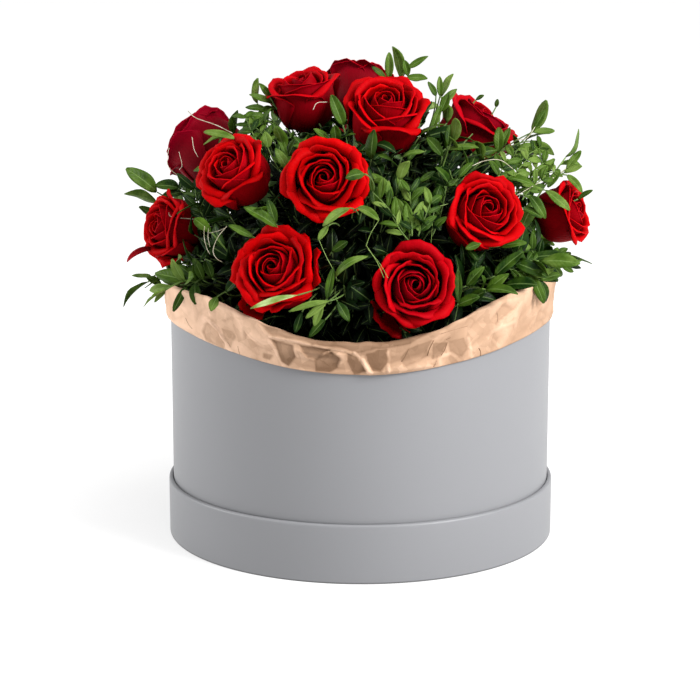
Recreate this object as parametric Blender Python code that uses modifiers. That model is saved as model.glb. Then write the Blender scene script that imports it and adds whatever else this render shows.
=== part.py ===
"""A box of red roses: a round grey hat box standing in its own lid, with a kraft paper collar
folded over its rim, wet floral foam in a waterproof liner, roses on cut stems and sprays of
foliage between them.

Metres, +Z up. The origin is the middle of the lid's underside, and the front of the box faces -Y.
Azimuths are in degrees from the front, growing towards +X, and elevations are above the horizon.
"""

import math

import bmesh
import bpy
import numpy as np
from mathutils import Matrix, Vector

MM = 0.001
SAME_POINT = 1e-6

# Box, its lid worn underneath, and the wet parts inside
BODY_RADIUS = 120 * MM
BOARD = 2.0 * MM
RIM_Z = 143 * MM
LID_HEIGHT = 36 * MM
LID_BOARD = 2.5 * MM
LID_FLOOR = 2.0 * MM
SLIDE_GAP = 0.4 * MM
GAP = 0.3 * MM
LINER_RADIUS = 92 * MM
LINER_HEIGHT = 96 * MM
LINER_SHEET = 0.8 * MM
FOAM_TOP = 108 * MM
EDGE_ROUND = 0.8 * MM
ROUND_STEPS = 36
LINER_STEPS = 24

# Kraft paper collar, at its middle surface
PAPER_SHEET = 0.8 * MM
PAPER_INSIDE = BODY_RADIUS - BOARD - GAP - PAPER_SHEET / 2 - 0.1 * MM
PAPER_OUTSIDE = BODY_RADIUS + GAP + PAPER_SHEET / 2 + 0.1 * MM
PAPER_BOTTOM = 101 * MM
COLLAR_GAP, COLLAR_FLARE = 2.5 * MM, 7.7 * MM
FOLD_CLEARANCE = 1.9 * MM
COLLAR_ROWS = 5

# Flowers: the middle of the dome that they stand on, and a bloom of unit size
DOME_Z = 150 * MM
BLOOM_WIDTH = 58 * MM
BLOOM_MIDDLE = 28 * MM
PETAL_SHEET = 0.9 * MM
CALYX_LENGTH = 9 * MM
CALYX_WIDENING = (1.0, 1.7, 1.9)
STAR_HEIGHT = 1.2 * MM
SEPALS = 5
ROSE_STEM = 2.2 * MM
SPRAY_STEM = 1.2 * MM
FOAM_DEPTH = 24 * MM
STRAIGHT_ABOVE_FOAM = 6 * MM
FOAM_SPREAD = 0.9
LEAF_SHEET = 0.7 * MM
LEAF_GAP = 2.4 * MM
LEAF_TRIES = 16
LEAF_FOOT = 1.2 * MM
LEAF_WIDEST = 0.45
BLADE_LAP, TUBE_END = 7 * MM, 2 * MM
RIB_HALF_WIDTH = 1.1 * MM
STEM_GAP = 5.3 * MM
PATH_TRIES = 150
STEM_POINTS = 2
SPRAY_POINTS = 4

# Each rose: azimuth, elevation and distance in mm of its bloom's middle from the dome's middle,
# azimuth and elevation that it faces, width in mm, and which of the bloom shapes it has.
ROSES = (
    (-27.5, 17, 112, -16, 26, 51, 0),
    (17, 13, 107, 4, 17, 50, 1),
    (-14, 44, 121, -4, 20, 50, 2),
    (45.5, 32, 119, 22, 27, 48, 0),
    (30, 76, 122, 8, 55, 54, 1),
    (-98, 74, 132, -46, 73, 48, 2),
    (-54, 42.5, 127, -38, 38, 47, 1),
    (-114, 39, 141.5, -125, 28, 58, 0),
    (-82, 21.5, 128, -58, 14, 45, 2),
    (90, 22.5, 140, 66, 18, 42, 1),
    (123, 48.3, 135.5, 82, 52, 56, 0),
    (-178, 65, 140, 178, 55, 50, 2),
    (148, 17, 120, 148, 18, 50, 2),
    (-150, 18, 120, -150, 18, 50, 1),
    (178, 40, 130, 176, 34, 50, 0),
)

# Each spray: azimuth, elevation and distance in mm of its tip from the dome's middle, number of
# leaf pairs, leaf length in mm, and how far its middle bulges outwards, in mm.
SPRAYS = (
    (-92, 25, 141, 4, 26, 6),
    (-88, 4, 135, 3, 23, 22),
    (-102, 62, 138, 4, 21, 0),
    (-40, 54, 122, 3, 21, 0),
    (120, 78, 139, 3, 23, 0),
    (94, 68, 136, 3, 20, 0),
    (52, 56, 124, 4, 21, 0),
    (104, 42, 152, 4, 23, 0),
    (90, 33, 156, 4, 22, 6),
    (76, 14, 130, 4, 25, 14),
    (104, 7, 128, 3, 22, 16),
    (58, 14, 130, 4, 26, 12),
    (15, 44, 122, 4, 22, 0),
    (-6, 14, 102, 3, 21, 0),
    (39, 13, 123, 3, 22, 8),
    (-34, 34, 120, 3, 22, 0),
    (-60, 7, 136, 4, 22, 14),
    (-49, 24, 128, 3, 22, 6),
    (-122, 10, 146, 4, 24, 16),
    (-146, 46, 142, 3, 24, 0),
    (165, 6, 144, 3, 25, 16),
    (150, 44, 144, 3, 24, 0),
    (122, 12, 148, 3, 25, 16),
    (-168, 26, 142, 3, 24, 6),
)

BLOOM_RED = (0.62, 0.004, 0.008)
STEM_GREEN = (0.10, 0.20, 0.04)
LEAF_GREEN = (0.07, 0.20, 0.03)
BOX_GREY = (0.42, 0.43, 0.46)
KRAFT = (0.72, 0.47, 0.31)
FOAM_GREEN = (0.05, 0.16, 0.07)
LINER_CLEAR = (0.75, 0.78, 0.78)


# Where things go

def direction(azimuth, elevation):
    a, e = math.radians(azimuth), math.radians(elevation)
    return np.array([math.sin(a) * math.cos(e), -math.cos(a) * math.cos(e), math.sin(e)])


def unit(vector):
    return vector / np.linalg.norm(vector)


def from_dome(azimuth, elevation, distance):
    return np.array([0, 0, DOME_Z]) + distance * MM * direction(azimuth, elevation)


def smooth_step(value, start, end):
    """0 before start, 1 past end, and a smooth rise between them."""
    share = min(1.0, max(0.0, (value - start) / (end - start)))
    return 0.5 - 0.5 * math.cos(math.pi * share)


def fold_height(azimuth):
    """Height of the collar's fold: tight on the rim in front, standing up at the sides and behind."""
    azimuth = (azimuth + 180) % 360 - 180
    rise = 20.5 if azimuth < 0 else 25
    lift = rise * smooth_step(abs(azimuth), 6, 54) - (rise - 15.5) * smooth_step(abs(azimuth), 100, 160)
    lift -= 9 * math.exp(-(((azimuth + 96) / 18) ** 2))
    return RIM_Z + FOLD_CLEARANCE + lift * MM


def cuff_height(azimuth):
    """Height of the collar's lower edge outside the box."""
    azimuth = (azimuth + 180) % 360 - 180
    return (126.2 + 15 * smooth_step(abs(azimuth), 0, 76)) * MM


def curve_between(start, control, end, count):
    """Points on the quadratic curve from start to end, without its start."""
    s = np.linspace(0, 1, count + 1)[1:, None]
    return (1 - s) ** 2 * start + 2 * s * (1 - s) * control + s**2 * end


def planted_path(foam_xy, control, end, count):
    """A stem from its foot in the foam to its end. It is straight as far as it stands in the foam."""
    surface = np.array([foam_xy[0], foam_xy[1], FOAM_TOP])
    way = unit(control - surface)
    foot = surface - way * FOAM_DEPTH
    leaves_foam = surface + way * STRAIGHT_ABOVE_FOAM
    bent = curve_between(leaves_foam, control, end, count)
    return np.vstack([foot, leaves_foam, bent])


def along_path(path, spacing):
    """Points every so often along a path, and the way it runs at each."""
    legs = np.diff(path, axis=0)
    lengths = np.linalg.norm(legs, axis=1)
    at = np.concatenate([[0], np.cumsum(lengths)])
    where = np.linspace(0, at[-1], max(2, int(at[-1] / spacing) + 1))
    points = np.column_stack([np.interp(where, at, path[:, k]) for k in range(3)])
    return points, np.gradient(points, axis=0)


class Rose:
    """Where one rose is: its bloom's base, the way it faces, its size and its stem."""

    def __init__(self, number, row):
        azimuth, elevation, distance, face_azimuth, face_elevation, width, self.shape = row
        self.number = number
        self.size = width * MM / BLOOM_WIDTH
        self.axis = direction(face_azimuth, face_elevation)
        self.middle = from_dome(azimuth, elevation, distance)
        self.base = self.middle - self.axis * BLOOM_MIDDLE * self.size
        neck = self.base - self.axis * CALYX_LENGTH * self.size
        shoulder = self.base - self.axis * 0.7 * CALYX_LENGTH * self.size
        star = self.base + self.axis * STAR_HEIGHT * self.size
        control = neck - self.axis * 0.45 * (neck[2] - FOAM_TOP)
        control[2] = max(control[2], FOAM_TOP + 18 * MM)
        path = planted_path(FOAM_SPREAD * control[:2], control, neck, STEM_POINTS)
        self.stem = np.vstack([path, shoulder, star])

    def to_local(self, points):
        """Distance from the bloom's axis and height above its base, in metres of a bloom of unit size."""
        away = (points - self.base) / self.size
        height = away @ self.axis
        return np.linalg.norm(away - np.outer(height, self.axis), axis=1), height

    def place(self, point):
        """The point of the bloom of unit size, where this bloom has it."""
        return np.array(self.matrix() @ Vector(point))

    def matrix(self):
        turn = Vector(self.axis).to_track_quat("Z", "Y").to_matrix().to_4x4()
        spin = Matrix.Rotation(math.radians(47 * self.number), 4, "Z")
        return Matrix.Translation(self.base) @ turn @ spin @ Matrix.Scale(self.size, 4)


# Half width of a bloom at heights above its base, both in mm for a bloom of unit size, and the room
# kept round it
ENVELOPE_HEIGHT = (-1, 3, 8, 20, 30, 38, 44, 47)
ENVELOPE_RADIUS = (8, 17, 22.5, 24.5, 28, 28, 21, 12)
ENVELOPE_GAP = 1.2 * MM


class Room:
    """What is placed so far: blooms by their envelope, the collar by its zone, the rest by points."""

    def __init__(self, roses):
        self.roses = roses
        self.kept = np.empty((0, 3))

    def keep(self, points):
        self.kept = np.vstack([self.kept, points])

    def meets_bloom(self, points):
        low, high = (ENVELOPE_HEIGHT[0] - 1) * MM, (ENVELOPE_HEIGHT[-1] + 2) * MM
        for rose in self.roses:
            radius, height = rose.to_local(points)
            limit = np.interp(height / MM, ENVELOPE_HEIGHT, ENVELOPE_RADIUS) * MM + ENVELOPE_GAP
            if np.any((height > low) & (height < high) & (radius < limit)):
                return True
        return False

    def meets_collar(self, points):
        radius = np.linalg.norm(points[:, :2], axis=1)
        azimuth = np.degrees(np.arctan2(points[:, 0], -points[:, 1]))
        top = np.array([fold_height(a) for a in azimuth]) + COLLAR_GAP
        near = (radius > PAPER_INSIDE - COLLAR_GAP) & (radius < PAPER_OUTSIDE + COLLAR_FLARE)
        return bool(np.any((near & (points[:, 2] < top)) | (points[:, 2] < FOAM_TOP - FOAM_DEPTH)))

    def near_kept(self, points, gap):
        low, high = points.min(axis=0) - gap, points.max(axis=0) + gap
        close = self.kept[np.all((self.kept > low) & (self.kept < high), axis=1)]
        if not len(close):
            return False
        apart = np.linalg.norm(points[:, None, :] - close[None, :, :], axis=2)
        return bool(apart.min() < gap)

    def clear(self, points, gap):
        return not (self.near_kept(points, gap) or self.meets_bloom(points) or self.meets_collar(points))


class Leaf:
    """One leaf blade: its root, the way it points, the way its upper face looks, and its size."""

    def __init__(self, root, along, up, length, width, droop):
        self.root = root
        self.along = unit(along)
        self.up = unit(up - (up @ self.along) * self.along)
        self.side = np.cross(self.along, self.up)
        self.length, self.width, self.droop = length, width, droop

    def point(self, u, v):
        """u runs from -1 to 1 across the blade and v from 0 at its root to 1 at its tip."""
        half = self.width / 2 * math.sin(math.pi * v**0.8) ** 0.75 if 0 < v < 1 else 0.0
        bend = self.droop * v
        forward = self.length * math.sin(bend) / self.droop
        sink = self.length * (1 - math.cos(bend)) / self.droop
        lift = 0.25 * abs(u) * half
        return self.root + self.along * forward + self.up * (lift - sink) + self.side * u * half

    def points(self, start=0.0):
        rows = np.linspace(start, 1, 9)
        return np.array([self.point(u, v) for v in rows for u in (-1, -0.5, 0, 0.5, 1)])


class Foot:
    """Where a pair of leaves stands on a stem: -1 and 1 are its sides, and 0 is the leaf at its tip."""

    def __init__(self, place, way, across):
        self.place, self.way, self.across = place, way, across
        self.leaves = {}


class Spray:
    """A leafy stem: its path from the foam to its tip, and the leaves that found room on it."""

    def __init__(self, number, row, room):
        azimuth, elevation, distance, pairs, leaf_length, bulge = row
        self.number = number
        draw = np.random.default_rng(100 + number)
        self.path = self.find_path(azimuth, elevation, distance, bulge, draw, room)
        self.feet = []
        if self.path is not None:
            self.grow(pairs, leaf_length * MM, draw, room)
            room.keep(along_path(self.path, 2 * MM)[0])

    def find_path(self, azimuth, elevation, distance, bulge, draw, room):
        """The first way from the foam to the tip that is clear of what stands there already."""
        for attempt in range(PATH_TRIES):
            stray = attempt / PATH_TRIES
            side, rise, turn = draw.uniform(-1, 1, 3) * stray * (14, 10, 60)
            tip = from_dome(azimuth + side, elevation + rise, distance)
            foot_reach = draw.uniform(0.3, 0.66) * LINER_RADIUS
            foam_xy = foot_reach * direction(azimuth + turn, 0)[:2]
            reach = np.linalg.norm(tip[:2])
            control = direction(azimuth + 0.5 * turn, 0) * (0.5 * reach + 0.5 * foot_reach + bulge * MM)
            level = max(tip[2] - 0.3 * reach, fold_height(azimuth) + 8 * MM)
            control[2] = level + bulge * MM
            path = planted_path(foam_xy, control, tip, SPRAY_POINTS)
            if room.clear(along_path(path, 2 * MM)[0], STEM_GAP):
                return path
        return None

    def grow(self, pairs, leaf_length, draw, room):
        """Leaves in pairs along the outer half of the stem, and one at its tip."""
        points, ways = along_path(self.path, 1 * MM)
        first = int(len(points) * 0.5)
        for pair, at in enumerate(np.linspace(first, len(points) - 1, pairs + 1).astype(int)):
            way = unit(ways[at])
            outward = unit(points[at] - np.array([0, 0, DOME_Z - 40 * MM]))
            across = unit(np.cross(way, outward))
            foot = Foot(points[at], way, across)
            size = leaf_length * (0.85 + 0.25 * math.sin(math.pi * pair / pairs))
            for side in (-1, 1) if pair < pairs else (0,):
                leaf = self.fit_leaf(foot, side, outward, size, draw, room)
                if leaf is not None:
                    foot.leaves[side] = leaf
                    room.keep(leaf.points(0.12))
            self.feet.append(foot)

    def fit_leaf(self, foot, side, outward, size, draw, room):
        for attempt in range(LEAF_TRIES):
            wander = draw.uniform(-1, 1, 3) * (0.15 + 0.07 * attempt)
            along = 0.75 * foot.way + 0.95 * side * foot.across + 0.15 * outward + wander
            up = outward + 0.4 * draw.uniform(-1, 1, 3)
            length = size * draw.uniform(0.95, 1.2) * (1 - 0.02 * attempt)
            droop = draw.uniform(0.2, 0.8)
            root = foot.place + side * RIB_HALF_WIDTH * foot.across
            leaf = Leaf(root, along, up, length, length * draw.uniform(0.35, 0.43), droop)
            if room.clear(leaf.points(0.12), LEAF_GAP):
                return leaf
        return None


def arrangement():
    """All roses and sprays, each clear of the others."""
    roses = [Rose(number, row) for number, row in enumerate(ROSES)]
    room = Room(roses)
    for rose in roses:
        room.keep(along_path(rose.stem, 2 * MM)[0])
        room.keep(sepal_points(rose))
    sprays = [Spray(number, row, room) for number, row in enumerate(SPRAYS)]
    return roses, sprays


# Shapes

def clear_scene():
    for obj in list(bpy.data.objects):
        bpy.data.objects.remove(obj, do_unlink=True)


def material(name, colour, roughness, metallic=0.0, alpha=1.0):
    made = bpy.data.materials.new(name)
    made.use_nodes = True
    shader = made.node_tree.nodes["Principled BSDF"]
    shader.inputs["Base Color"].default_value = (*colour, 1)
    shader.inputs["Roughness"].default_value = roughness
    shader.inputs["Metallic"].default_value = metallic
    shader.inputs["Alpha"].default_value = alpha
    made.diffuse_color = (*colour, alpha)
    return made


def add(name, mesh, collection, finish=None):
    obj = bpy.data.objects.new(name, mesh)
    collection.objects.link(obj)
    if finish is not None:
        mesh.materials.clear()
        mesh.materials.append(finish)
    return obj


def as_mesh(obj):
    """The object's evaluated mesh, with its transform applied and coinciding points made one."""
    bpy.context.view_layer.update()
    graph = bpy.context.evaluated_depsgraph_get()
    mesh = bpy.data.meshes.new_from_object(obj.evaluated_get(graph))
    mesh.transform(obj.matrix_world)
    shape = bmesh.new()
    shape.from_mesh(mesh)
    bmesh.ops.remove_doubles(shape, verts=shape.verts, dist=SAME_POINT)
    shape.to_mesh(mesh)
    shape.free()
    return mesh


def turned(name, profile, steps, collection):
    """A profile of (radius, height) points turned about Z. It runs down its outer side."""
    mesh = bpy.data.meshes.new(name)
    links = [(k, k + 1) for k in range(len(profile) - 1)]
    mesh.from_pydata([(r, 0, z) for r, z in profile], links, [])
    obj = add(name, mesh, collection)
    screw = obj.modifiers.new("Turn", "SCREW")
    screw.steps = screw.render_steps = steps
    screw.use_merge_vertices = True
    screw.merge_threshold = SAME_POINT
    return obj


def tube(name, path, radius, corners, collection, widening=()):
    """A stem along a path, with 4 or 6 sides and closed ends. Its last points may widen by a factor."""
    data = bpy.data.curves.new(name, "CURVE")
    data.dimensions = "3D"
    data.bevel_depth = radius
    data.bevel_resolution = (corners - 4) // 2
    data.use_fill_caps = True
    spline = data.splines.new("POLY")
    spline.points.add(len(path) - 1)
    factors = [1.0] * (len(path) - len(widening)) + list(widening)
    for point, place, factor in zip(spline.points, path, factors):
        point.co = (*place, 1)
        point.radius = factor
    curve = bpy.data.objects.new(name, data)
    collection.objects.link(curve)
    mesh = as_mesh(curve)
    bpy.data.objects.remove(curve, do_unlink=True)
    return add(name, mesh, collection)


def thin_sheet(name, shape, thickness, collection):
    """An open surface made a thin solid, with the surface in the middle of its thickness."""
    bmesh.ops.triangulate(shape, faces=shape.faces)
    bmesh.ops.recalc_face_normals(shape, faces=shape.faces)
    mesh = bpy.data.meshes.new(name)
    shape.to_mesh(mesh)
    shape.free()
    obj = add(name, mesh, collection)
    solid = obj.modifiers.new("Sheet", "SOLIDIFY")
    solid.thickness = thickness
    solid.offset = 0
    return obj


def fused(name, base, workshop, finish, collection):
    """The base and all else in the workshop, joined into one solid."""
    workshop.objects.unlink(base)
    collection.objects.link(base)
    union = base.modifiers.new("Fuse", "BOOLEAN")
    union.operation = "UNION"
    union.operand_type = "COLLECTION"
    union.collection = workshop
    union.solver = "EXACT"
    mesh = as_mesh(base)
    for obj in [base, *workshop.objects]:
        bpy.data.objects.remove(obj, do_unlink=True)
    obj = add(name, mesh, collection, finish)
    mesh.shade_smooth()
    mesh.set_sharp_from_angle(angle=math.radians(40))
    return obj


# Box, lid, collar, liner and foam

def cup_profile(outside, inside, bottom, floor, top):
    """The section of a cup, from the middle of its inner floor round to the middle of its underside."""
    return (
        (0, floor),
        (inside, floor),
        (inside, top),
        (outside - EDGE_ROUND, top),
        (outside, top - EDGE_ROUND),
        (outside, bottom),
        (0, bottom),
    )


def make_box(collection, grey):
    lid_inside = BODY_RADIUS + SLIDE_GAP
    lid = cup_profile(lid_inside + LID_BOARD, lid_inside, 0, LID_FLOOR, LID_HEIGHT)
    body_bottom = LID_FLOOR + GAP
    body = cup_profile(BODY_RADIUS, BODY_RADIUS - BOARD, body_bottom, body_bottom + BOARD, RIM_Z)
    for name, profile in (("box_lid_base", lid), ("box_body", body)):
        obj = turned(name, profile, ROUND_STEPS, collection)
        obj.data.materials.append(grey)
    return body_bottom + BOARD


def make_liner(collection, clear, floor):
    bottom = floor + GAP
    profile = (
        (0, bottom + LINER_SHEET),
        (LINER_RADIUS - LINER_SHEET, bottom + LINER_SHEET),
        (LINER_RADIUS - LINER_SHEET, LINER_HEIGHT),
        (LINER_RADIUS, LINER_HEIGHT),
        (LINER_RADIUS, bottom),
        (0, bottom),
    )
    obj = turned("waterproof_liner", profile, LINER_STEPS, collection)
    obj.data.materials.append(clear)
    return bottom + LINER_SHEET


def rod(name, low, high, radius, corners, collection):
    """A cylinder between two points."""
    way = Vector(high) - Vector(low)
    shape = bmesh.new()
    sizes = {"radius1": radius, "radius2": radius, "depth": way.length}
    bmesh.ops.create_cone(shape, cap_ends=True, segments=corners, **sizes)
    turn = way.to_track_quat("Z", "Y").to_matrix().to_4x4()
    shape.transform(Matrix.Translation((Vector(low) + Vector(high)) / 2) @ turn)
    mesh = bpy.data.meshes.new(name)
    shape.to_mesh(mesh)
    shape.free()
    return add(name, mesh, collection)


def make_foam(collection, workshop, green, floor, stems):
    """The block of foam, with a plain hole for each stem that stands in it."""
    radius = LINER_RADIUS - LINER_SHEET - 4 * GAP
    foam = rod("foam", (0, 0, floor + GAP), (0, 0, FOAM_TOP), radius, LINER_STEPS, collection)
    for path, stem_radius, corners in stems:
        way = unit(path[1] - path[0])
        wide = (stem_radius + GAP) / math.cos(math.pi / corners)
        rod("hole", path[0] - way * GAP, path[1], wide, corners, workshop)
    cut = foam.modifiers.new("Holes", "BOOLEAN")
    cut.operation = "DIFFERENCE"
    cut.operand_type = "COLLECTION"
    cut.collection = workshop
    cut.solver = "EXACT"
    mesh = as_mesh(foam)
    for obj in [foam, *workshop.objects]:
        bpy.data.objects.remove(obj, do_unlink=True)
    add("foam", mesh, collection, green)


def collar_point(turn, row):
    """The collar's middle surface, from row 0 inside the box, over its fold, to row 5, the cuff's edge."""
    azimuth = 360 * turn
    a = math.radians(azimuth)
    fold, cuff = fold_height(azimuth), cuff_height(azimuth)
    lean = 0.12 * (fold - RIM_Z)
    ripple = (0.5 + 0.5 * math.sin(9 * a + 2 * math.sin(3 * a))) * MM
    middle = (PAPER_INSIDE + PAPER_OUTSIDE) / 2 + lean
    rows = (
        (PAPER_INSIDE, PAPER_BOTTOM),
        (PAPER_INSIDE, RIM_Z - 2 * MM),
        (middle - 1.5 * MM, fold - 0.4 * MM),
        (middle + 1.5 * MM, fold - 0.4 * MM),
        (PAPER_OUTSIDE + 0.6 * lean + ripple, 0.5 * (fold + cuff)),
        (PAPER_OUTSIDE + 1.5 * ripple, cuff),
    )
    radius, height = rows[row]
    return radius * math.sin(a), -radius * math.cos(a), height


def make_collar(collection, kraft):
    """The paper as a sheet rolled into a ring, lining the rim inside, folded over it and down outside."""
    shape = bmesh.new()
    bmesh.ops.create_grid(shape, x_segments=ROUND_STEPS, y_segments=COLLAR_ROWS, size=1)
    for point in shape.verts:
        row = round((point.co.y + 1) / 2 * COLLAR_ROWS)
        point.co = Vector(collar_point((point.co.x + 1) / 2, row))
    bmesh.ops.remove_doubles(shape, verts=shape.verts, dist=SAME_POINT)
    obj = thin_sheet("paper_collar", shape, PAPER_SHEET, collection)
    obj.data.materials.append(kraft)


# Roses

# Sections of the petals of a bloom of unit size, from the innermost layer, 0, to the outermost, 1.
# Each is four control points of (distance from the axis, height), and the roll of the rim, in mm.
LAYERS = (
    (0.00, (5.0, 4.6), (8.0, 14), (8.0, 32), (3.2, 42), 0.0),
    (0.30, (7.2, 4.6), (13.0, 10), (12.0, 34), (7.0, 44.5), 0.8),
    (0.60, (8.6, 4.6), (18.5, 8), (17.0, 32), (14.0, 43.5), 2.0),
    (0.85, (10.0, 4.6), (22.5, 5), (20.5, 30), (19.5, 41.5), 3.5),
    (1.00, (10.6, 4.6), (25.5, 4.5), (21.5, 28), (22.5, 39.5), 4.5),
)

# The petals of the solid blooms, in rings: number of petals, layer, half width in degrees, how much
# nearer to the middle one side of each is than the other, as a share, its columns of faces, and the
# radius and height in mm of the disc that the ring stands on
RINGS = (
    (3, 0.32, 66, 0.19, 2, 6.6, 3.7),
    (3, 0.66, 68, 0.14, 3, 8.6, 3.15),
    (5, 1.00, 43, 0.10, 2, 10.8, 2.6),
)
RING_TURN, SHAPE_TURN = 50, 25
RING_ROWS = 2
ROOT_SHARE = 0.66
BUD_PROFILE = ((0, 41), (4.0, 38), (5.0, 2.9), (0, 2.9))
BUD_STEPS = 5


def layer_section(layer):
    rows = [row[0] for row in LAYERS]
    points = [
        [np.interp(layer, rows, [row[k][c] for row in LAYERS]) for c in (0, 1)] for k in (1, 2, 3, 4)
    ]
    return np.array(points), np.interp(layer, rows, [row[5] for row in LAYERS])


def petal_point(layer, azimuth, half_width, u, v, swirl):
    """A point of a petal, in a bloom of unit size. v runs from its base to its rim, and u across it."""
    section, roll = layer_section(layer)
    s = v * (1 - 0.16 * abs(u) ** 2.5)
    weights = np.array([(1 - s) ** 3, 3 * s * (1 - s) ** 2, 3 * s**2 * (1 - s), s**3])
    radius, height = weights @ section
    rolled = max(0.0, (v - 0.72) / 0.28) ** 2 * roll
    radius = (radius + rolled) * (1 + swirl * u)
    height = height - 0.45 * rolled
    spread = half_width * min(1.0, 0.35 + 0.9 * v)
    a = math.radians(azimuth + u * spread)
    return radius * math.sin(a) * MM, -radius * math.cos(a) * MM, height * MM


def ring_point(ring, turn, place, row):
    """A corner of a ring's sheet: place counts round the ring, and row runs from its disc to its rim."""
    count, layer, half_width, swirl, columns, foot, height = ring
    petal, column = divmod(place, columns + 1)
    u, azimuth = 2 * column / columns - 1, 360 * petal / count + turn
    if row:
        return petal_point(layer, azimuth, half_width, u, row / RING_ROWS, swirl)
    a = math.radians(azimuth + u * ROOT_SHARE * 180 / count)
    return foot * math.sin(a) * MM, -foot * math.cos(a) * MM, height * MM


def petal_ring(ring, turn, collection):
    """A ring of petals in one thin sheet: a cup slit between its petals, which overlap like shutters."""
    around, slit = ring[0] * (ring[4] + 1), ring[4]
    shape = bmesh.new()
    bmesh.ops.create_grid(shape, x_segments=around - 1, y_segments=RING_ROWS, size=1)
    places = {point: round((point.co.x + 1) / 2 * (around - 1)) for point in shape.verts}
    rows = {point: round((point.co.y + 1) / 2 * RING_ROWS) for point in shape.verts}
    slits = [face for face in shape.faces if min(places[p] for p in face.verts) % (slit + 1) == slit]
    disc = sorted((point for point in shape.verts if rows[point] == 0), key=places.get)
    shape.faces.new(disc)
    for point in shape.verts:
        point.co = Vector(ring_point(ring, turn, places[point], rows[point]))
    bmesh.ops.delete(shape, geom=slits, context="FACES")
    thin_sheet("ring", shape, PETAL_SHEET, collection)


def bloom_mesh(shape, collection, workshop, red):
    """One of the bloom shapes: a bud, and rings of petals that stand on discs inside each other."""
    bud = turned("bud", [(r * MM, z * MM) for r, z in BUD_PROFILE], BUD_STEPS, workshop)
    for number, ring in enumerate(RINGS):
        petal_ring(ring, RING_TURN * number + SHAPE_TURN * shape, workshop)
    return fused(f"bloom_shape_{shape}", bud, workshop, red, collection)


def sepal_points(rose):
    """Points along the sepals, from the edge of the calyx to their tips."""
    ends = [[rose.place(sepal_corner(2 * k, reach)) for reach in (0.4, 1)] for k in range(SEPALS)]
    return np.vstack([along_path(np.array(pair), 2 * MM)[0] for pair in ends])


def sepal_corner(corner, reach=1.0):
    """A corner of the star of sepals under a bloom of unit size: even ones are tips, odd ones notches."""
    a = math.pi * corner / SEPALS + 0.3
    if corner % 2:
        return np.array([5.2 * MM * math.sin(a), -5.2 * MM * math.cos(a), STAR_HEIGHT])
    out = 5 * MM + reach * 14 * MM
    return np.array([out * math.sin(a), -out * math.cos(a), STAR_HEIGHT - reach * 7 * MM])


def sepal_star(rose, collection):
    """The sepals as one thin star, its tips turned back under the bloom."""
    shape = bmesh.new()
    bmesh.ops.create_circle(shape, segments=2 * SEPALS, radius=1, cap_ends=True)
    for point in shape.verts:
        corner = round(math.atan2(point.co.x, -point.co.y) / math.pi * SEPALS)
        point.co = Vector(rose.place(sepal_corner(corner)))
    thin_sheet("sepals", shape, LEAF_SHEET, collection)


def make_rose_stem(rose, collection, workshop, green):
    """A stem that widens to the calyx under the bloom, with the star of sepals on it."""
    stem = tube("stem", rose.stem, ROSE_STEM * rose.size, 6, workshop, CALYX_WIDENING)
    sepal_star(rose, workshop)
    fused(f"rose_{rose.number + 1:02d}_stem", stem, workshop, green, collection)


# Foliage

def rib_rows(spray):
    """Rows across the rib: one where the stem's tube ends, two at each pair of leaves, one at the tip."""
    first = spray.feet[0]
    rows = [(first.place - first.way * 4 * LEAF_FOOT, first.across)]
    for foot in spray.feet[:-1]:
        rows.append((foot.place - foot.way * LEAF_FOOT, foot.across))
        rows.append((foot.place + foot.way * LEAF_FOOT, foot.across))
    return [*rows, (spray.feet[-1].place, spray.feet[-1].across)]


def extend_leaf(shape, edge, leaf):
    """Draws a leaf's outline out from the edge that it stands on: to its widest part, then to its tip."""
    start, end = edge.verts
    turn = 1 if (end.co - start.co).dot(Vector(leaf.side)) > 0 else -1
    wide = bmesh.ops.extrude_edge_only(shape, edges=[edge])["geom"]
    outer = [item for item in wide if isinstance(item, bmesh.types.BMVert)]
    for point in outer:
        nearer_start = (point.co - start.co).length < (point.co - end.co).length
        point.co = Vector(leaf.point(-turn if nearer_start else turn, LEAF_WIDEST))
    rim = [item for item in wide if isinstance(item, bmesh.types.BMEdge) and set(item.verts) == set(outer)]
    tip = bmesh.ops.extrude_edge_only(shape, edges=rim)["geom"]
    last = [item for item in tip if isinstance(item, bmesh.types.BMVert)]
    bmesh.ops.pointmerge(shape, verts=last, merge_co=Vector(leaf.point(0, 1)))


def leafy_blade(spray, collection):
    """The rib and its leaves, cut to the rib, as one thin solid."""
    rows = rib_rows(spray)
    shape = bmesh.new()
    bmesh.ops.create_grid(shape, x_segments=1, y_segments=len(rows) - 1, size=1)
    grid = {}
    for point in shape.verts:
        side, row = round(point.co.x), round((point.co.y + 1) / 2 * (len(rows) - 1))
        place, across = rows[row]
        grid[side, row] = point
        point.co = Vector(place + side * RIB_HALF_WIDTH * across)
    for pair, foot in enumerate(spray.feet):
        for side, leaf in foot.leaves.items():
            if side == 0:
                ends = grid[-1, len(rows) - 1], grid[1, len(rows) - 1]
            else:
                ends = grid[side, 2 * pair + 1], grid[side, 2 * pair + 2]
            extend_leaf(shape, shape.edges.get(ends), leaf)
    thin_sheet("leaves", shape, LEAF_SHEET, collection)


def make_spray(spray, collection, workshop, green):
    """A leafy stem: a tube from the foam to its first leaves, fused with the blade that carries them."""
    first = spray.feet[0]
    past = (spray.path - first.place) @ first.way > -BLADE_LAP
    bare = spray.path[: past.argmax()]
    stem = tube("stem", [*bare, first.place - TUBE_END * first.way], SPRAY_STEM, 4, workshop)
    leafy_blade(spray, workshop)
    fused(f"spray_{spray.number + 1:02d}", stem, workshop, green, collection)


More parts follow.
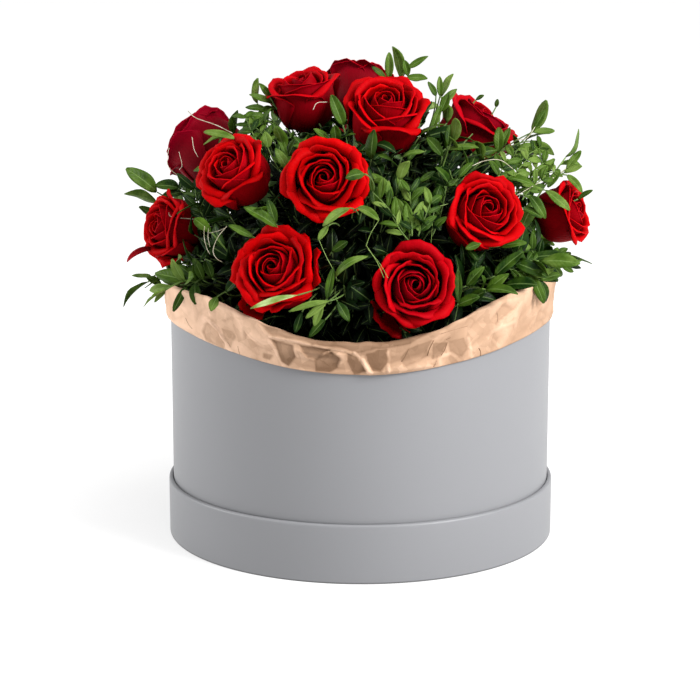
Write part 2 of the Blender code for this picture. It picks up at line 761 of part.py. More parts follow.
def main():
    clear_scene()
    made = bpy.data.collections.new("box_of_roses")
    workshop = bpy.data.collections.new("workshop")
    for collection in (made, workshop):
        bpy.context.scene.collection.children.link(collection)
    red = material("rose_red", BLOOM_RED, 0.55)
    stem_green = material("stem_green", STEM_GREEN, 0.6)
    leaf_green = material("leaf_green", LEAF_GREEN, 0.45)

    roses, sprays = arrangement()
    floor = make_box(made, material("box_grey", BOX_GREY, 0.55))
    floor = make_liner(made, material("liner_clear", LINER_CLEAR, 0.2, alpha=0.4), floor)
    stems = [(rose.stem, ROSE_STEM * rose.size, 6) for rose in roses]
    stems += [(spray.path, SPRAY_STEM, 4) for spray in sprays]
    make_foam(made, workshop, material("foam_green", FOAM_GREEN, 0.95), floor, stems)
    make_collar(made, material("kraft_paper", KRAFT, 0.8))
    shapes = [bloom_mesh(shape, made, workshop, red) for shape in range(3)]
    for rose in roses:
        bloom = add(f"rose_{rose.number + 1:02d}_bloom", shapes[rose.shape].data, made)
        bloom.matrix_world = rose.matrix()
        make_rose_stem(rose, made, workshop, stem_green)
    for obj in shapes:
        bpy.data.objects.remove(obj, do_unlink=True)
    for spray in sprays:
        make_spray(spray, made, workshop, leaf_green)
    bpy.data.collections.remove(workshop)


main()
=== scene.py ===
import math

import bpy
import numpy as np
from mathutils import Matrix, Vector, geometry
from mathutils.bvhtree import BVHTree


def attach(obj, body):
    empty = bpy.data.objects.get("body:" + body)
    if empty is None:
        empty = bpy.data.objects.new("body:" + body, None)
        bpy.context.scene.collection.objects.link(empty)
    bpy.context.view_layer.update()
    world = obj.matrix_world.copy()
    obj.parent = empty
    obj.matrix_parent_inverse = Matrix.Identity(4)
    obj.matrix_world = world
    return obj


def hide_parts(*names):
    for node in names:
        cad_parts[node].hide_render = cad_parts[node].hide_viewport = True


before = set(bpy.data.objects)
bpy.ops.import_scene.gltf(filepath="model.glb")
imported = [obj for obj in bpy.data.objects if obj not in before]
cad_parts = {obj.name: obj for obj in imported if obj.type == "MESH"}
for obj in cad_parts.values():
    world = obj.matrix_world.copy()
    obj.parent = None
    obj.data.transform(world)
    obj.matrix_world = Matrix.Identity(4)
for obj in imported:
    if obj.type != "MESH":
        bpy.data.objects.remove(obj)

MM = 0.001

# Camera, as the photograph's own: its place, how far it looks down and to the right, and its lens
CAMERA_PLACE = (-0.0083, -1.229, 0.3742)
CAMERA_DOWN, CAMERA_RIGHT = 11.533, 0.08
CAMERA_LENS, CAMERA_SENSOR = 101.16, 36
PHOTO_WIDTH, PHOTO_HEIGHT = 700, 675
FOCAL_PIXELS = CAMERA_LENS / CAMERA_SENSOR * PHOTO_WIDTH

# Light of the room and of the floor itself, where the lamps aim, and each lamp: its name, azimuth,
# distance, height and size in metres, and power in watts
ROOM_LIGHT = 0.45
# The floor's half side in metres, its grey, its glow, and its lower glow by the box, which paints a soft
# shadow round it
FLOOR_SIDE, FLOOR_SHADE, FLOOR_GLOW, PAINTED_SHADOW_GLOW = 12, 0.35, 0.84, 0.62
LIGHT_AIM = (0, 0, 0.17)
LIGHTS = (
    ("key", 54, 1.5, 1.0, 0.8, 42),
    ("top", 20, 0.4, 1.7, 0.9, 11),
    ("left", -96, 1.5, 0.7, 0.9, 17),
)

# Box, lid and collar, as the solids have them
BODY_RADIUS = 120 * MM
BOARD = 2.0 * MM
RIM_Z = 143 * MM
LID_HEIGHT = 36 * MM
LID_BOARD = 2.5 * MM
LID_FLOOR = 2.0 * MM
SLIDE_GAP = 0.4 * MM
GAP = 0.3 * MM
LINER_RADIUS = 92 * MM
FOAM_TOP = 108 * MM
PAPER_SHEET = 0.8 * MM
PAPER_INSIDE = BODY_RADIUS - BOARD - GAP - PAPER_SHEET / 2 - 0.1 * MM
PAPER_OUTSIDE = BODY_RADIUS + GAP + PAPER_SHEET / 2 + 0.1 * MM
PAPER_BOTTOM = 101 * MM
COLLAR_GAP, COLLAR_FLARE = 2.5 * MM, 7.7 * MM
FOLD_CLEARANCE = 1.9 * MM

# Flowers and foliage, as the solids have them: first the middle of their dome, and the point that
# leaves turn their backs to
DOME = np.array([0, 0, 150 * MM])
LEAVES_FACE_FROM = DOME - (0, 0, 40 * MM)
BLOOM_WIDTH = 58 * MM
BLOOM_MIDDLE = 28 * MM
BLOOM_TURN = 47
CALYX_LENGTH = 9 * MM
CALYX_WIDENING = (1.0, 1.7, 1.9)
CALYX_SHOULDER = 0.7
STAR_HEIGHT = 1.2 * MM
SEPALS, SEPAL_TURN = 5, 0.3
SEPAL_START, SEPAL_SHEET = 4 * MM, 0.5 * MM
ROSE_STEM = 2.2 * MM
SPRAY_STEM = 1.2 * MM
FOAM_DEPTH = 24 * MM
STRAIGHT_ABOVE_FOAM = 6 * MM
FOAM_SPREAD = 0.9
STEM_DROP, LOWEST_BEND = 0.45, FOAM_TOP + 18 * MM
# Leaves keep clear of things from this share of their length on
LEAF_FREE = 0.12
LEAF_GAP = 2.4 * MM
LEAF_TRIES = 16
RIB_HALF_WIDTH = 1.1 * MM
STEM_GAP = 5.3 * MM
PATH_TRIES = 150
STEM_POINTS = 2
SPRAY_POINTS = 4
# How far a spray may stray at its last try, in degrees: its tip aside and up, and its foot
SPRAY_STRAY = (14, 10, 60)
SPRAY_FOOT = (0.3, 0.66)

# Seeds of the random draws. The first four have the number of a spray or rose added.
SPRAY_SEED, BLOOM_SEED, STEM_SEED, SMALL_LEAF_SEED = 99, 499, 699, 899
CREASE_SEED, FILLER_SEED, SEEN_SEED = 5, 77, 31

# Each rose: azimuth, elevation and distance in mm of its bloom's middle from the dome's middle,
# azimuth and elevation that it faces, width in mm, which of the bloom shapes it has, and how dark
# it is, from 0, bright red, to 1, crimson.
ROSES = (
    (-27.5, 17, 112, -16, 26, 51, 0, 0.0),
    (17, 13, 107, 4, 17, 50, 1, 0.3),
    (-14, 44, 121, -4, 20, 50, 2, 0.0),
    (45.5, 32, 119, 22, 27, 48, 0, 0.05),
    (30, 76, 122, 8, 55, 54, 1, 0.1),
    (-98, 74, 132, -46, 73, 48, 2, 0.2),
    (-54, 42.5, 127, -38, 38, 47, 1, 0.05),
    (-114, 39, 141.5, -125, 28, 58, 0, 0.78),
    (-82, 21.5, 128, -58, 14, 45, 2, 0.12),
    (90, 22.5, 140, 66, 18, 42, 1, 0.15),
    (123, 48.3, 135.5, 82, 52, 56, 0, 0.42),
    (-178, 65, 140, 178, 55, 50, 2, 0.35),
    (148, 17, 120, 148, 18, 50, 2, 0.3),
    (-150, 18, 120, -150, 18, 50, 1, 0.2),
    (178, 40, 130, 176, 34, 50, 0, 0.3),
)

# Each spray: azimuth, elevation and distance in mm of its tip from the dome's middle, number of leaf pairs,
# leaf length in mm, how far its middle bulges outwards, in mm, and how light it is painted, partly as painted
# light and shade.
SPRAYS = (
    (-92, 25, 141, 4, 26, 6, 0.35),
    (-88, 4, 135, 3, 23, 22, 0.4),
    (-102, 62, 138, 4, 21, 0, 0.5),
    (-40, 54, 122, 3, 21, 0, 0.5),
    (120, 78, 139, 3, 23, 0, 0.5),
    (94, 68, 136, 3, 20, 0, 0.45),
    (52, 56, 124, 4, 21, 0, 0.6),
    (104, 42, 152, 4, 23, 0, 0.45),
    (90, 33, 156, 4, 22, 6, 0.45),
    (76, 14, 130, 4, 25, 14, 0.25),
    (104, 7, 128, 3, 22, 16, 0.35),
    (58, 14, 130, 4, 26, 12, 0.4),
    (15, 44, 122, 4, 22, 0, 0.8),
    (-6, 14, 102, 3, 21, 0, 0.6),
    (39, 13, 123, 3, 22, 8, 0.45),
    (-34, 34, 120, 3, 22, 0, 0.4),
    (-60, 7, 136, 4, 22, 14, 0.5),
    (-49, 24, 128, 3, 22, 6, 0.35),
    (-122, 10, 146, 4, 24, 16, 0.4),
    (-146, 46, 142, 3, 24, 0, 0.4),
    (165, 6, 144, 3, 25, 16, 0.4),
    (150, 44, 144, 3, 24, 0, 0.4),
    (122, 12, 148, 3, 25, 16, 0.4),
    (-168, 26, 142, 3, 24, 6, 0.4),
)


# Where things go, as in the solids

def around(a, radius, height):
    """Points round the box's axis. The angle is 0 in front and grows to the right."""
    return np.stack([radius * np.sin(a), -radius * np.cos(a), height], axis=-1)


def direction(azimuth, elevation):
    e = math.radians(elevation)
    return around(math.radians(azimuth), math.cos(e), math.sin(e))


def unit(vector):
    return vector / np.linalg.norm(vector)


def from_dome(azimuth, elevation, distance):
    """The point that lies this way and this far, in mm, from the dome's middle."""
    return DOME + distance * MM * direction(azimuth, elevation)


def from_front(azimuth):
    """The same azimuth, between -180 and 180."""
    return (azimuth + 180) % 360 - 180


def smooth_step(value, start, end):
    """0 before start, 1 past end, and a smooth rise between them."""
    share = np.clip((value - start) / (end - start), 0, 1)
    return 0.5 - 0.5 * np.cos(np.pi * share)


def fold_height(azimuth):
    """Height of the collar's fold: tight on the rim in front, standing up at the sides and behind."""
    azimuth = from_front(azimuth)
    rise = np.where(azimuth < 0, 20.5, 25)
    lift = rise * smooth_step(abs(azimuth), 6, 54) - (rise - 15.5) * smooth_step(abs(azimuth), 100, 160)
    lift -= 9 * np.exp(-(((azimuth + 96) / 18) ** 2))
    return RIM_Z + FOLD_CLEARANCE + lift * MM


def cuff_height(azimuth):
    """Height of the collar's lower edge outside the box."""
    return (126.2 + 15 * smooth_step(abs(from_front(azimuth)), 0, 76)) * MM


def curve_between(start, control, end, count):
    """Points on the quadratic curve from start to end, without its start."""
    s = np.linspace(0, 1, count + 1)[1:, None]
    return (1 - s) ** 2 * start + 2 * s * (1 - s) * control + s**2 * end


def planted_path(foam_xy, control, end, count):
    """A stem from its foot in the foam to its end. It is straight as far as it stands in the foam."""
    surface = np.array([*foam_xy, FOAM_TOP])
    way = unit(control - surface)
    leaves_foam = surface + way * STRAIGHT_ABOVE_FOAM
    bent = curve_between(leaves_foam, control, end, count)
    return np.vstack([surface - way * FOAM_DEPTH, leaves_foam, bent])


def lengths_along(path):
    """The length of a path up to each of its points."""
    return np.append(0, np.cumsum(np.linalg.norm(np.diff(path, axis=0), axis=1)))


def along_path(path, spacing):
    """Points every so often along a path, and the way it runs at each."""
    at = lengths_along(path)
    where = np.linspace(0, at[-1], max(2, int(at[-1] / spacing) + 1))
    points = np.column_stack([np.interp(where, at, path[:, k]) for k in range(3)])
    return points, np.gradient(points, axis=0)


class Rose:
    """Where one rose is: its bloom's base, the way it faces, its size and its stem's path."""

    def __init__(self, number, row):
        azimuth, elevation, distance, face_azimuth, face_elevation, width, self.shape, self.dark = row
        self.number = number
        self.size = width * MM / BLOOM_WIDTH
        self.axis = direction(face_azimuth, face_elevation)
        self.base = from_dome(azimuth, elevation, distance) - self.axis * BLOOM_MIDDLE * self.size
        neck = self.base - self.axis * CALYX_LENGTH * self.size
        shoulder = self.base - self.axis * CALYX_SHOULDER * CALYX_LENGTH * self.size
        star = self.base + self.axis * STAR_HEIGHT * self.size
        control = neck - self.axis * STEM_DROP * (neck[2] - FOAM_TOP)
        control[2] = max(control[2], LOWEST_BEND)
        path = planted_path(FOAM_SPREAD * control[:2], control, neck, STEM_POINTS)
        self.stem = np.vstack([path, shoulder, star])
        turn = Vector(self.axis).to_track_quat("Z", "Y").to_matrix().to_4x4()
        spin = Matrix.Rotation(math.radians(BLOOM_TURN * (number - 1)), 4, "Z")
        place = Matrix.Translation(self.base) @ turn @ spin @ Matrix.Scale(self.size, 4)
        self.matrix = np.array(place)

    def to_local(self, points):
        """Distance from the bloom's axis and height above its base, in metres of a bloom of unit size."""
        away = (points - self.base) / self.size
        height = away @ self.axis
        return np.linalg.norm(away - np.outer(height, self.axis), axis=1), height

    def place(self, points):
        """Points of the bloom of unit size, where this bloom has them."""
        return np.asarray(points) @ self.matrix[:3, :3].T + self.matrix[:3, 3]


# Half width of a bloom at heights above its base, both in mm for a bloom of unit size, and the room
# kept round it
ENVELOPE_HEIGHT = (-1, 3, 8, 20, 30, 38, 44, 47)
ENVELOPE_RADIUS = (8, 17, 22.5, 24.5, 28, 28, 21, 12)
ENVELOPE_GAP = 1.2 * MM


class Room:
    """What is placed so far: blooms by their envelope, the collar by its zone, the rest by points."""

    def __init__(self, roses):
        self.roses = roses
        self.kept = np.empty((0, 3))

    def keep(self, points):
        """Lets what comes later stay clear of these points."""
        self.kept = np.vstack([self.kept, points])

    def meets_bloom(self, points):
        """Whether any of the points lies in the envelope of a bloom."""
        low, high = (ENVELOPE_HEIGHT[0] - 1) * MM, (ENVELOPE_HEIGHT[-1] + 2) * MM
        for rose in self.roses:
            radius, height = rose.to_local(points)
            limit = np.interp(height / MM, ENVELOPE_HEIGHT, ENVELOPE_RADIUS) * MM + ENVELOPE_GAP
            if np.any((height > low) & (height < high) & (radius < limit)):
                return True
        return False

    def meets_collar(self, points):
        """Whether any of the points lies in the collar's zone or too deep in the foam."""
        radius = np.linalg.norm(points[:, :2], axis=1)
        azimuth = np.degrees(np.arctan2(points[:, 0], -points[:, 1]))
        top = fold_height(azimuth) + COLLAR_GAP
        near = (radius > PAPER_INSIDE - COLLAR_GAP) & (radius < PAPER_OUTSIDE + COLLAR_FLARE)
        return bool(np.any((near & (points[:, 2] < top)) | (points[:, 2] < FOAM_TOP - FOAM_DEPTH)))

    def near_kept(self, points, gap):
        """Whether any of the points is nearer than the gap to a point that is kept."""
        low, high = points.min(axis=0) - gap, points.max(axis=0) + gap
        close = self.kept[np.all((self.kept > low) & (self.kept < high), axis=1)]
        if not len(close):
            return False
        apart = np.linalg.norm(points[:, None, :] - close[None, :, :], axis=2)
        return bool(apart.min() < gap)

    def clear(self, points, gap):
        """Whether the points keep clear of everything."""
        return not (self.near_kept(points, gap) or self.meets_bloom(points) or self.meets_collar(points))


class Leaf:
    """One leaf blade: its root, the way it points, the way its upper face looks, and its size."""

    def __init__(self, root, along, up, length, width, droop):
        self.root = root
        self.along = unit(along)
        self.up = unit(up - (up @ self.along) * self.along)
        self.side = np.cross(self.along, self.up)
        self.length, self.width, self.droop = length, width, droop

    def grid(self, across, rows, fullness=0.75, fold=0.25, middle=0.8):
        """Points of the blade: across runs from -1 to 1 and rows from 0 at its root to 1 at its tip."""
        u, v = np.asarray(across)[None, :, None], np.asarray(rows)[:, None, None]
        half = self.width / 2 * np.sin(np.pi * np.clip(v, 0, 1) ** middle).clip(0) ** fullness
        bend = self.droop * v
        forward = self.length * np.sin(bend) / self.droop
        sink = self.length * (1 - np.cos(bend)) / self.droop
        lift = fold * abs(u) * half
        return self.root + self.along * forward + self.up * (lift - sink) + self.side * u * half

    def points(self, start):
        """Points all over the blade, from a share of its length to its tip."""
        return self.grid((-1, -0.5, 0, 0.5, 1), np.linspace(start, 1, 9)).reshape(-1, 3)


class Spray:
    """A leafy stem: its path from the foam to its tip, and the leaves that found room on it."""

    def __init__(self, number, row, room):
        azimuth, elevation, distance, pairs, leaf_length, bulge, self.light = row
        self.number = number
        draw = np.random.default_rng(SPRAY_SEED + number)
        self.path = self.find_path(azimuth, elevation, distance, bulge, draw, room)
        self.leaves = []
        self.grow(pairs, leaf_length * MM, draw, room)
        room.keep(along_path(self.path, 2 * MM)[0])

    def find_path(self, azimuth, elevation, distance, bulge, draw, room):
        """The first way from the foam to the tip that is clear of what stands there already."""
        for attempt in range(PATH_TRIES):
            stray = attempt / PATH_TRIES
            side, rise, turn = draw.uniform(-1, 1, 3) * stray * SPRAY_STRAY
            tip = from_dome(azimuth + side, elevation + rise, distance)
            foot_reach = draw.uniform(*SPRAY_FOOT) * LINER_RADIUS
            foam_xy = foot_reach * direction(azimuth + turn, 0)[:2]
            reach = np.linalg.norm(tip[:2])
            control = direction(azimuth + 0.5 * turn, 0) * (0.5 * reach + 0.5 * foot_reach + bulge * MM)
            control[2] = max(tip[2] - 0.3 * reach, fold_height(azimuth) + 8 * MM) + bulge * MM
            path = planted_path(foam_xy, control, tip, SPRAY_POINTS)
            if room.clear(along_path(path, 2 * MM)[0], STEM_GAP):
                break
        return path

    def grow(self, pairs, leaf_length, draw, room):
        """Leaves in pairs along the outer half of the stem, and one at its tip."""
        points, ways = along_path(self.path, 1 * MM)
        first = int(len(points) * 0.5)
        for pair, at in enumerate(np.linspace(first, len(points) - 1, pairs + 1).astype(int)):
            foot, way = points[at], unit(ways[at])
            outward = unit(foot - LEAVES_FACE_FROM)
            across = unit(np.cross(way, outward))
            size = leaf_length * (0.85 + 0.25 * math.sin(math.pi * pair / pairs))
            for side in (-1, 1) if pair < pairs else (0,):
                self.fit_leaf(foot, way, side * across, outward, size, draw, room)

    def fit_leaf(self, foot, way, aside, outward, size, draw, room):
        """Adds the first leaf at a foot that is clear of what stands there already."""
        for attempt in range(LEAF_TRIES):
            wander = draw.uniform(-1, 1, 3) * (0.15 + 0.07 * attempt)
            along = 0.75 * way + 0.95 * aside + 0.15 * outward + wander
            up = outward + 0.4 * draw.uniform(-1, 1, 3)
            length = size * draw.uniform(0.95, 1.2) * (1 - 0.02 * attempt)
            droop = draw.uniform(0.2, 0.8)
            root = foot + RIB_HALF_WIDTH * aside
            leaf = Leaf(root, along, up, length, length * draw.uniform(0.35, 0.43), droop)
            if room.clear(leaf.points(LEAF_FREE), LEAF_GAP):
                self.leaves.append(leaf)
                room.keep(leaf.points(LEAF_FREE))
                break


def arrangement():
    """All roses and sprays, each clear of the others, as the solids have them."""
    roses = [Rose(number, row) for number, row in enumerate(ROSES, 1)]
    room = Room(roses)
    for rose in roses:
        room.keep(along_path(rose.stem, 2 * MM)[0])
        room.keep(sepal_points(rose))
    sprays = [Spray(number, row, room) for number, row in enumerate(SPRAYS, 1)]
    return roses, sprays, room


def sepal_points(rose):
    """Points along the sepals, from the edge of the calyx to their tips."""
    ends = [[rose.place(sepal_corner(2 * k, reach)) for reach in (0.4, 1)] for k in range(SEPALS)]
    return np.vstack([along_path(np.array(pair), 2 * MM)[0] for pair in ends])


def sepal_corner(corner, reach=1.0):
    """A tip of the star of sepals under a bloom of unit size, or a point on the way out to it."""
    a = math.pi * corner / SEPALS + SEPAL_TURN
    return around(a, (5 + reach * 14) * MM, STAR_HEIGHT - reach * 7 * MM)


# What the photograph's camera sees

def camera_ways():
    """The ways that the camera looks: ahead, to the right and up."""
    level, turn = math.radians(CAMERA_DOWN), math.radians(CAMERA_RIGHT)
    ahead = np.array([math.sin(turn) * math.cos(level), math.cos(turn) * math.cos(level), -math.sin(level)])
    right = np.array([math.cos(turn), -math.sin(turn), 0])
    return ahead, right, np.cross(right, ahead)


def in_photo(points):
    """The pixels, across and down, at which points lie in the photograph."""
    ahead, right, up = camera_ways()
    away = points - np.array(CAMERA_PLACE)
    scale = FOCAL_PIXELS / (away @ ahead)
    across, down = PHOTO_WIDTH / 2 + scale * (away @ right), PHOTO_HEIGHT / 2 - scale * (away @ up)
    return np.stack([across, down], axis=-1)


def seen_at(place):
    """The point at a place of the photograph."""
    across, down, front = place
    ahead, right, up = camera_ways()
    ray = ahead + (right * (across - PHOTO_WIDTH / 2) - up * (down - PHOTO_HEIGHT / 2)) / FOCAL_PIXELS
    return np.array(CAMERA_PLACE) + ray * (-front * MM - CAMERA_PLACE[1]) / ray[1]


# Making pieces

class Heap:
    """Thin sheets and tubes gathered into one mesh. Each point has four numbers of paint."""

    def __init__(self):
        self.points, self.faces, self.paint = [], [], []
        self.count = 0

    def take(self, points, faces, paint):
        """Adds points, with their paint, and the faces that count them from 0."""
        self.points.append(points)
        self.paint.append(paint)
        self.faces.extend((faces + self.count).tolist())
        self.count += len(points)

    def sheet(self, grid, thickness, paint, under_paint=None):
        """A curved sheet through a grid of points, closed into a thin solid."""
        rows, columns = grid.shape[:2]
        down, over = np.gradient(grid, axis=0), np.gradient(grid, axis=1)
        normal = np.cross(down, over)
        normal /= np.linalg.norm(normal, axis=2, keepdims=True) + 1e-12
        points = np.stack([grid + normal * thickness / 2, grid - normal * thickness / 2])
        index = np.arange(2 * rows * columns).reshape(2, rows, columns)
        top, under = index[0], index[1]
        faces = [quads(top[:-1, :-1], top[1:, :-1], top[1:, 1:], top[:-1, 1:])]
        faces.append(quads(under[:-1, :-1], under[:-1, 1:], under[1:, 1:], under[1:, :-1]))
        faces.append(quads(top[:-1, 0], under[:-1, 0], under[1:, 0], top[1:, 0]))
        faces.append(quads(top[:-1, -1], top[1:, -1], under[1:, -1], under[:-1, -1]))
        faces.append(quads(top[0, :-1], top[0, 1:], under[0, 1:], under[0, :-1]))
        faces.append(quads(top[-1, :-1], under[-1, :-1], under[-1, 1:], top[-1, 1:]))
        both = np.stack([paint, paint if under_paint is None else under_paint])
        self.take(points.reshape(-1, 3), np.vstack(faces), both.reshape(-1, 4))

    def tube(self, path, radii, sides, paint):
        """A round stem along a path, drawn to a point at both ends."""
        ways = np.gradient(path, axis=0)
        ways /= np.linalg.norm(ways, axis=1, keepdims=True)
        aside = unit(np.cross(ways[0], (0.31, 0.52, 0.11)))
        rings = []
        for place, way, radius in zip(path, ways, np.broadcast_to(radii, len(path))):
            aside = unit(aside - (aside @ way) * way)
            turn = np.linspace(0, 2 * np.pi, sides, endpoint=False)[:, None]
            rings.append(place + radius * (np.cos(turn) * aside + np.sin(turn) * np.cross(way, aside)))
        ends = [path[0] + 0 * rings[0], *rings, path[-1] + 0 * rings[0]]
        index = np.arange(len(ends) * sides).reshape(len(ends), sides)
        after = np.roll(index, -1, axis=1)
        faces = quads(index[:-1], after[:-1], after[1:], index[1:])
        points = np.vstack(ends)
        self.take(points, faces, np.broadcast_to(paint, (len(points), 4)))

    def piece(self, name, finish):
        """The heap as one object, with its paint and its material."""
        mesh = bpy.data.meshes.new(name)
        mesh.from_pydata(np.vstack(self.points).tolist(), [], self.faces)
        paint = mesh.attributes.new("paint", "FLOAT_COLOR", "POINT")
        paint.data.foreach_set("color", np.vstack(self.paint).astype(np.float32).ravel())
        mesh.materials.append(finish)
        mesh.shade_smooth()
        return new_object(name, mesh)


def new_object(name, data):
    made = bpy.data.objects.new(name, data)
    bpy.context.scene.collection.objects.link(made)
    return made


def quads(a, b, c, d):
    """Faces between four arrays of corners."""
    return np.stack([a, b, c, d], axis=-1).reshape(-1, 4)


def smooth_path(path, count):
    """A path through the same points with its corners rounded."""
    ends = np.vstack([2 * path[0] - path[1], path, 2 * path[-1] - path[-2]])
    at = lengths_along(path)
    made = []
    for where in np.linspace(0, at[-1], count):
        k = min(int(np.searchsorted(at, where, side="right")) - 1, len(path) - 2)
        t = (where - at[k]) / (at[k + 1] - at[k])
        a, b, c, d = ends[k : k + 4]
        square, cube = (2 * a - 5 * b + 4 * c - d) * t**2, (3 * b - a - 3 * c + d) * t**3
        made.append(0.5 * (2 * b + (c - a) * t + square + cube))
    return np.array(made)


def stem_paint(tone, light):
    """The paint of a stem, which is that of the middle of a leaf."""
    return 0.5, 0.5, tone, light


def paint_of(u, v, tone, more):
    """The paint of a grid: across and along it, from 0 to 1, then the piece's tone and one number more."""
    shape = np.broadcast(u, v).shape
    parts = [np.broadcast_to(part, shape) for part in (u, v, tone, more)]
    return np.stack(parts, axis=-1)


# Finishes

class Finish:
    """A new material and its shader. A value is a number, a colour as three numbers, or a socket."""

    def __init__(self, name, roughness, specular=0.3):
        self.material = bpy.data.materials.new(name)
        self.material.use_nodes = True
        self.tree = self.material.node_tree
        self.shader = self.tree.nodes["Principled BSDF"]
        self.shader.inputs["Roughness"].default_value = roughness
        self.shader.inputs["Specular IOR Level"].default_value = specular

    def fill(self, socket, value):
        """Links a socket to another one, or sets it."""
        if isinstance(value, bpy.types.NodeSocket):
            self.tree.links.new(value, socket)
        else:
            socket.default_value = (*value, 1) if isinstance(value, tuple) else value

    def node(self, kind, inputs=None, **settings):
        """A new node with its settings, and the values of its inputs by name or number."""
        made = self.tree.nodes.new("ShaderNode" + kind)
        for key, value in settings.items():
            setattr(made, key, value)
        for socket, value in (inputs or {}).items():
            self.fill(made.inputs[socket], value)
        return made

    def mix(self, share, first, second, blend="MIX"):
        """A mix of two colours."""
        made = self.node("Mix", {0: share}, data_type="RGBA", blend_type=blend)
        self.fill(made.inputs[6], first)
        self.fill(made.inputs[7], second)
        return made.outputs[2]

    def ramp(self, share, *stops):
        """A colour between those of the stops, each of which is a share and a colour."""
        made = self.node("ValToRGB", {"Fac": share})
        elements = made.color_ramp.elements
        while len(elements) < len(stops):
            elements.new(0.5)
        for element, (place, colour) in zip(elements, stops):
            element.position = place
            element.color = (*colour, 1)
        return made.outputs["Color"]

    def between(self, value, start_end, first_last):
        """A rise or fall from the first to the last of two numbers as the value goes from start to end."""
        names = ("Value", "From Min", "From Max", "To Min", "To Max")
        return self.node("MapRange", dict(zip(names, (value, *start_end, *first_last)))).outputs[0]

    def math(self, operation, first, second=0.0):
        return self.node("Math", {0: first, 1: second}, operation=operation).outputs[0]

    def times(self, first, second):
        return self.math("MULTIPLY", first, second)

    def plus(self, first, second):
        return self.math("ADD", first, second)

    def minus(self, first, second):
        return self.math("SUBTRACT", first, second)

    def place(self, axis=None):
        """The place in the object, in metres, or one of its X, Y and Z."""
        made = self.node("TexCoord").outputs["Object"]
        return made if axis is None else self.node("SeparateXYZ", {"Vector": made}).outputs[axis]

    def grain(self, scale, detail=3.0, vector=None):
        """Cloudy noise, as fine as its scale is large."""
        vector = self.place() if vector is None else vector
        return self.node("TexNoise", {"Vector": vector, "Scale": scale, "Detail": detail}).outputs["Fac"]

    def paint(self):
        """The four numbers of paint: across, along, tone and the number more."""
        read = self.node("Attribute", attribute_name="paint")
        split = self.node("SeparateColor", {"Color": read.outputs["Color"]})
        return split.outputs[0], split.outputs[1], split.outputs[2], read.outputs["Alpha"]

    def bump(self, height, distance, strength=1.0):
        """Relief of the surface: its height, from 0 to 1, and how many metres 1 stands for."""
        made = self.node("Bump", {"Height": height, "Distance": distance, "Strength": strength})
        self.fill(self.shader.inputs["Normal"], made.outputs["Normal"])

    def coloured(self, colour):
        """The finished material, with this colour."""
        self.fill(self.shader.inputs["Base Color"], colour)
        return self.material


def petal_finish():
    """Velvet petals: darker towards the foot as painted shade, bright towards the rim, darker and crimson on
    the back, partly the back's own colour and partly painted shade, with faint veins.
    """
    made = Finish("petal_velvet", 0.55, 0.03)
    across, along, tone, dark = made.paint()
    # Painted shade: the petals darken towards their foot, where they shade each other
    bright = made.ramp(along, (0.0, (0.06, 0.0, 0.0)), (0.55, (0.35, 0.0, 0.0)), (0.85, (0.49, 0.0, 0.0)),
                       (1.0, (0.54, 0.0, 0.0)))
    crimson = made.ramp(along, (0.0, (0.03, 0.0, 0.001)), (0.6, (0.16, 0.0, 0.005)),
                        (1.0, (0.27, 0.0, 0.012)))
    colour = made.mix(dark, bright, crimson)
    stretched = made.node("CombineXYZ", {"X": across, "Y": made.times(along, 0.12), "Z": tone}).outputs[0]
    veins = made.grain(30.0, 2.0, stretched)
    colour = made.mix(made.times(veins, 0.25), colour, (0.16, 0.0, 0.005))
    lighter = made.ramp(tone, (0.0, (0.78, 0.78, 0.78)), (1.0, (1.0, 1.0, 1.0)))
    colour = made.mix(1.0, colour, lighter, "MULTIPLY")
    made.shader.inputs["Sheen Weight"].default_value = 0.05
    made.shader.inputs["Sheen Roughness"].default_value = 0.4
    made.shader.inputs["Sheen Tint"].default_value = (1.0, 0.02, 0.03, 1)
    made.bump(veins, 0.0003)
    return made.coloured(colour)


def leaf_finish():
    """Waxy leaves: a pale midrib, side veins in relief, and a tone and lightness for each leaf, in which
    painted shade darkens the leaves deep in the foliage.
    """
    made = Finish("leaf_green", 0.42, 0.09)
    across, along, tone, light = made.paint()
    aside = made.math("ABSOLUTE", made.minus(made.times(across, 2.0), 1.0))
    wander = made.times(made.minus(made.grain(130.0), 0.5), 0.5)
    share = made.plus(made.plus(made.times(tone, 0.42), wander), made.times(light, 0.55))
    colour = made.ramp(share, (0.0, (0.001, 0.004, 0.001)), (0.3, (0.005, 0.022, 0.001)),
                       (0.55, (0.050, 0.102, 0.008)), (0.8, (0.165, 0.245, 0.050)), (1.0, (0.50, 0.62, 0.30)))
    slant = made.minus(made.times(along, 9.0), made.times(aside, 1.6))
    wave = made.math("SINE", made.times(slant, 3.14159))
    vein = made.math("POWER", made.math("ABSOLUTE", wave), 0.4)
    rib = made.between(aside, (0.03, 0.13), (1.0, 0.0))
    colour = made.mix(made.times(rib, 0.3), colour, (0.30, 0.45, 0.14))
    made.bump(made.minus(made.times(vein, 0.5), rib), 0.0004, 0.6)
    return made.coloured(colour)


def stem_finish():
    """Green stems with soft blotches and a fine roughness."""
    made = Finish("stem_green", 0.5, 0.4)
    made.bump(made.grain(900.0), 0.0001)
    return made.coloured(made.ramp(made.grain(90.0), (0.3, (0.05, 0.13, 0.025)), (0.7, (0.13, 0.24, 0.06))))


def straw_finish():
    """Dry pale threads of moss and twig."""
    made = Finish("dry_straw", 0.6)
    return made.coloured(made.ramp(made.grain(160.0), (0.35, (0.32, 0.28, 0.18)), (0.65, (0.64, 0.58, 0.46))))


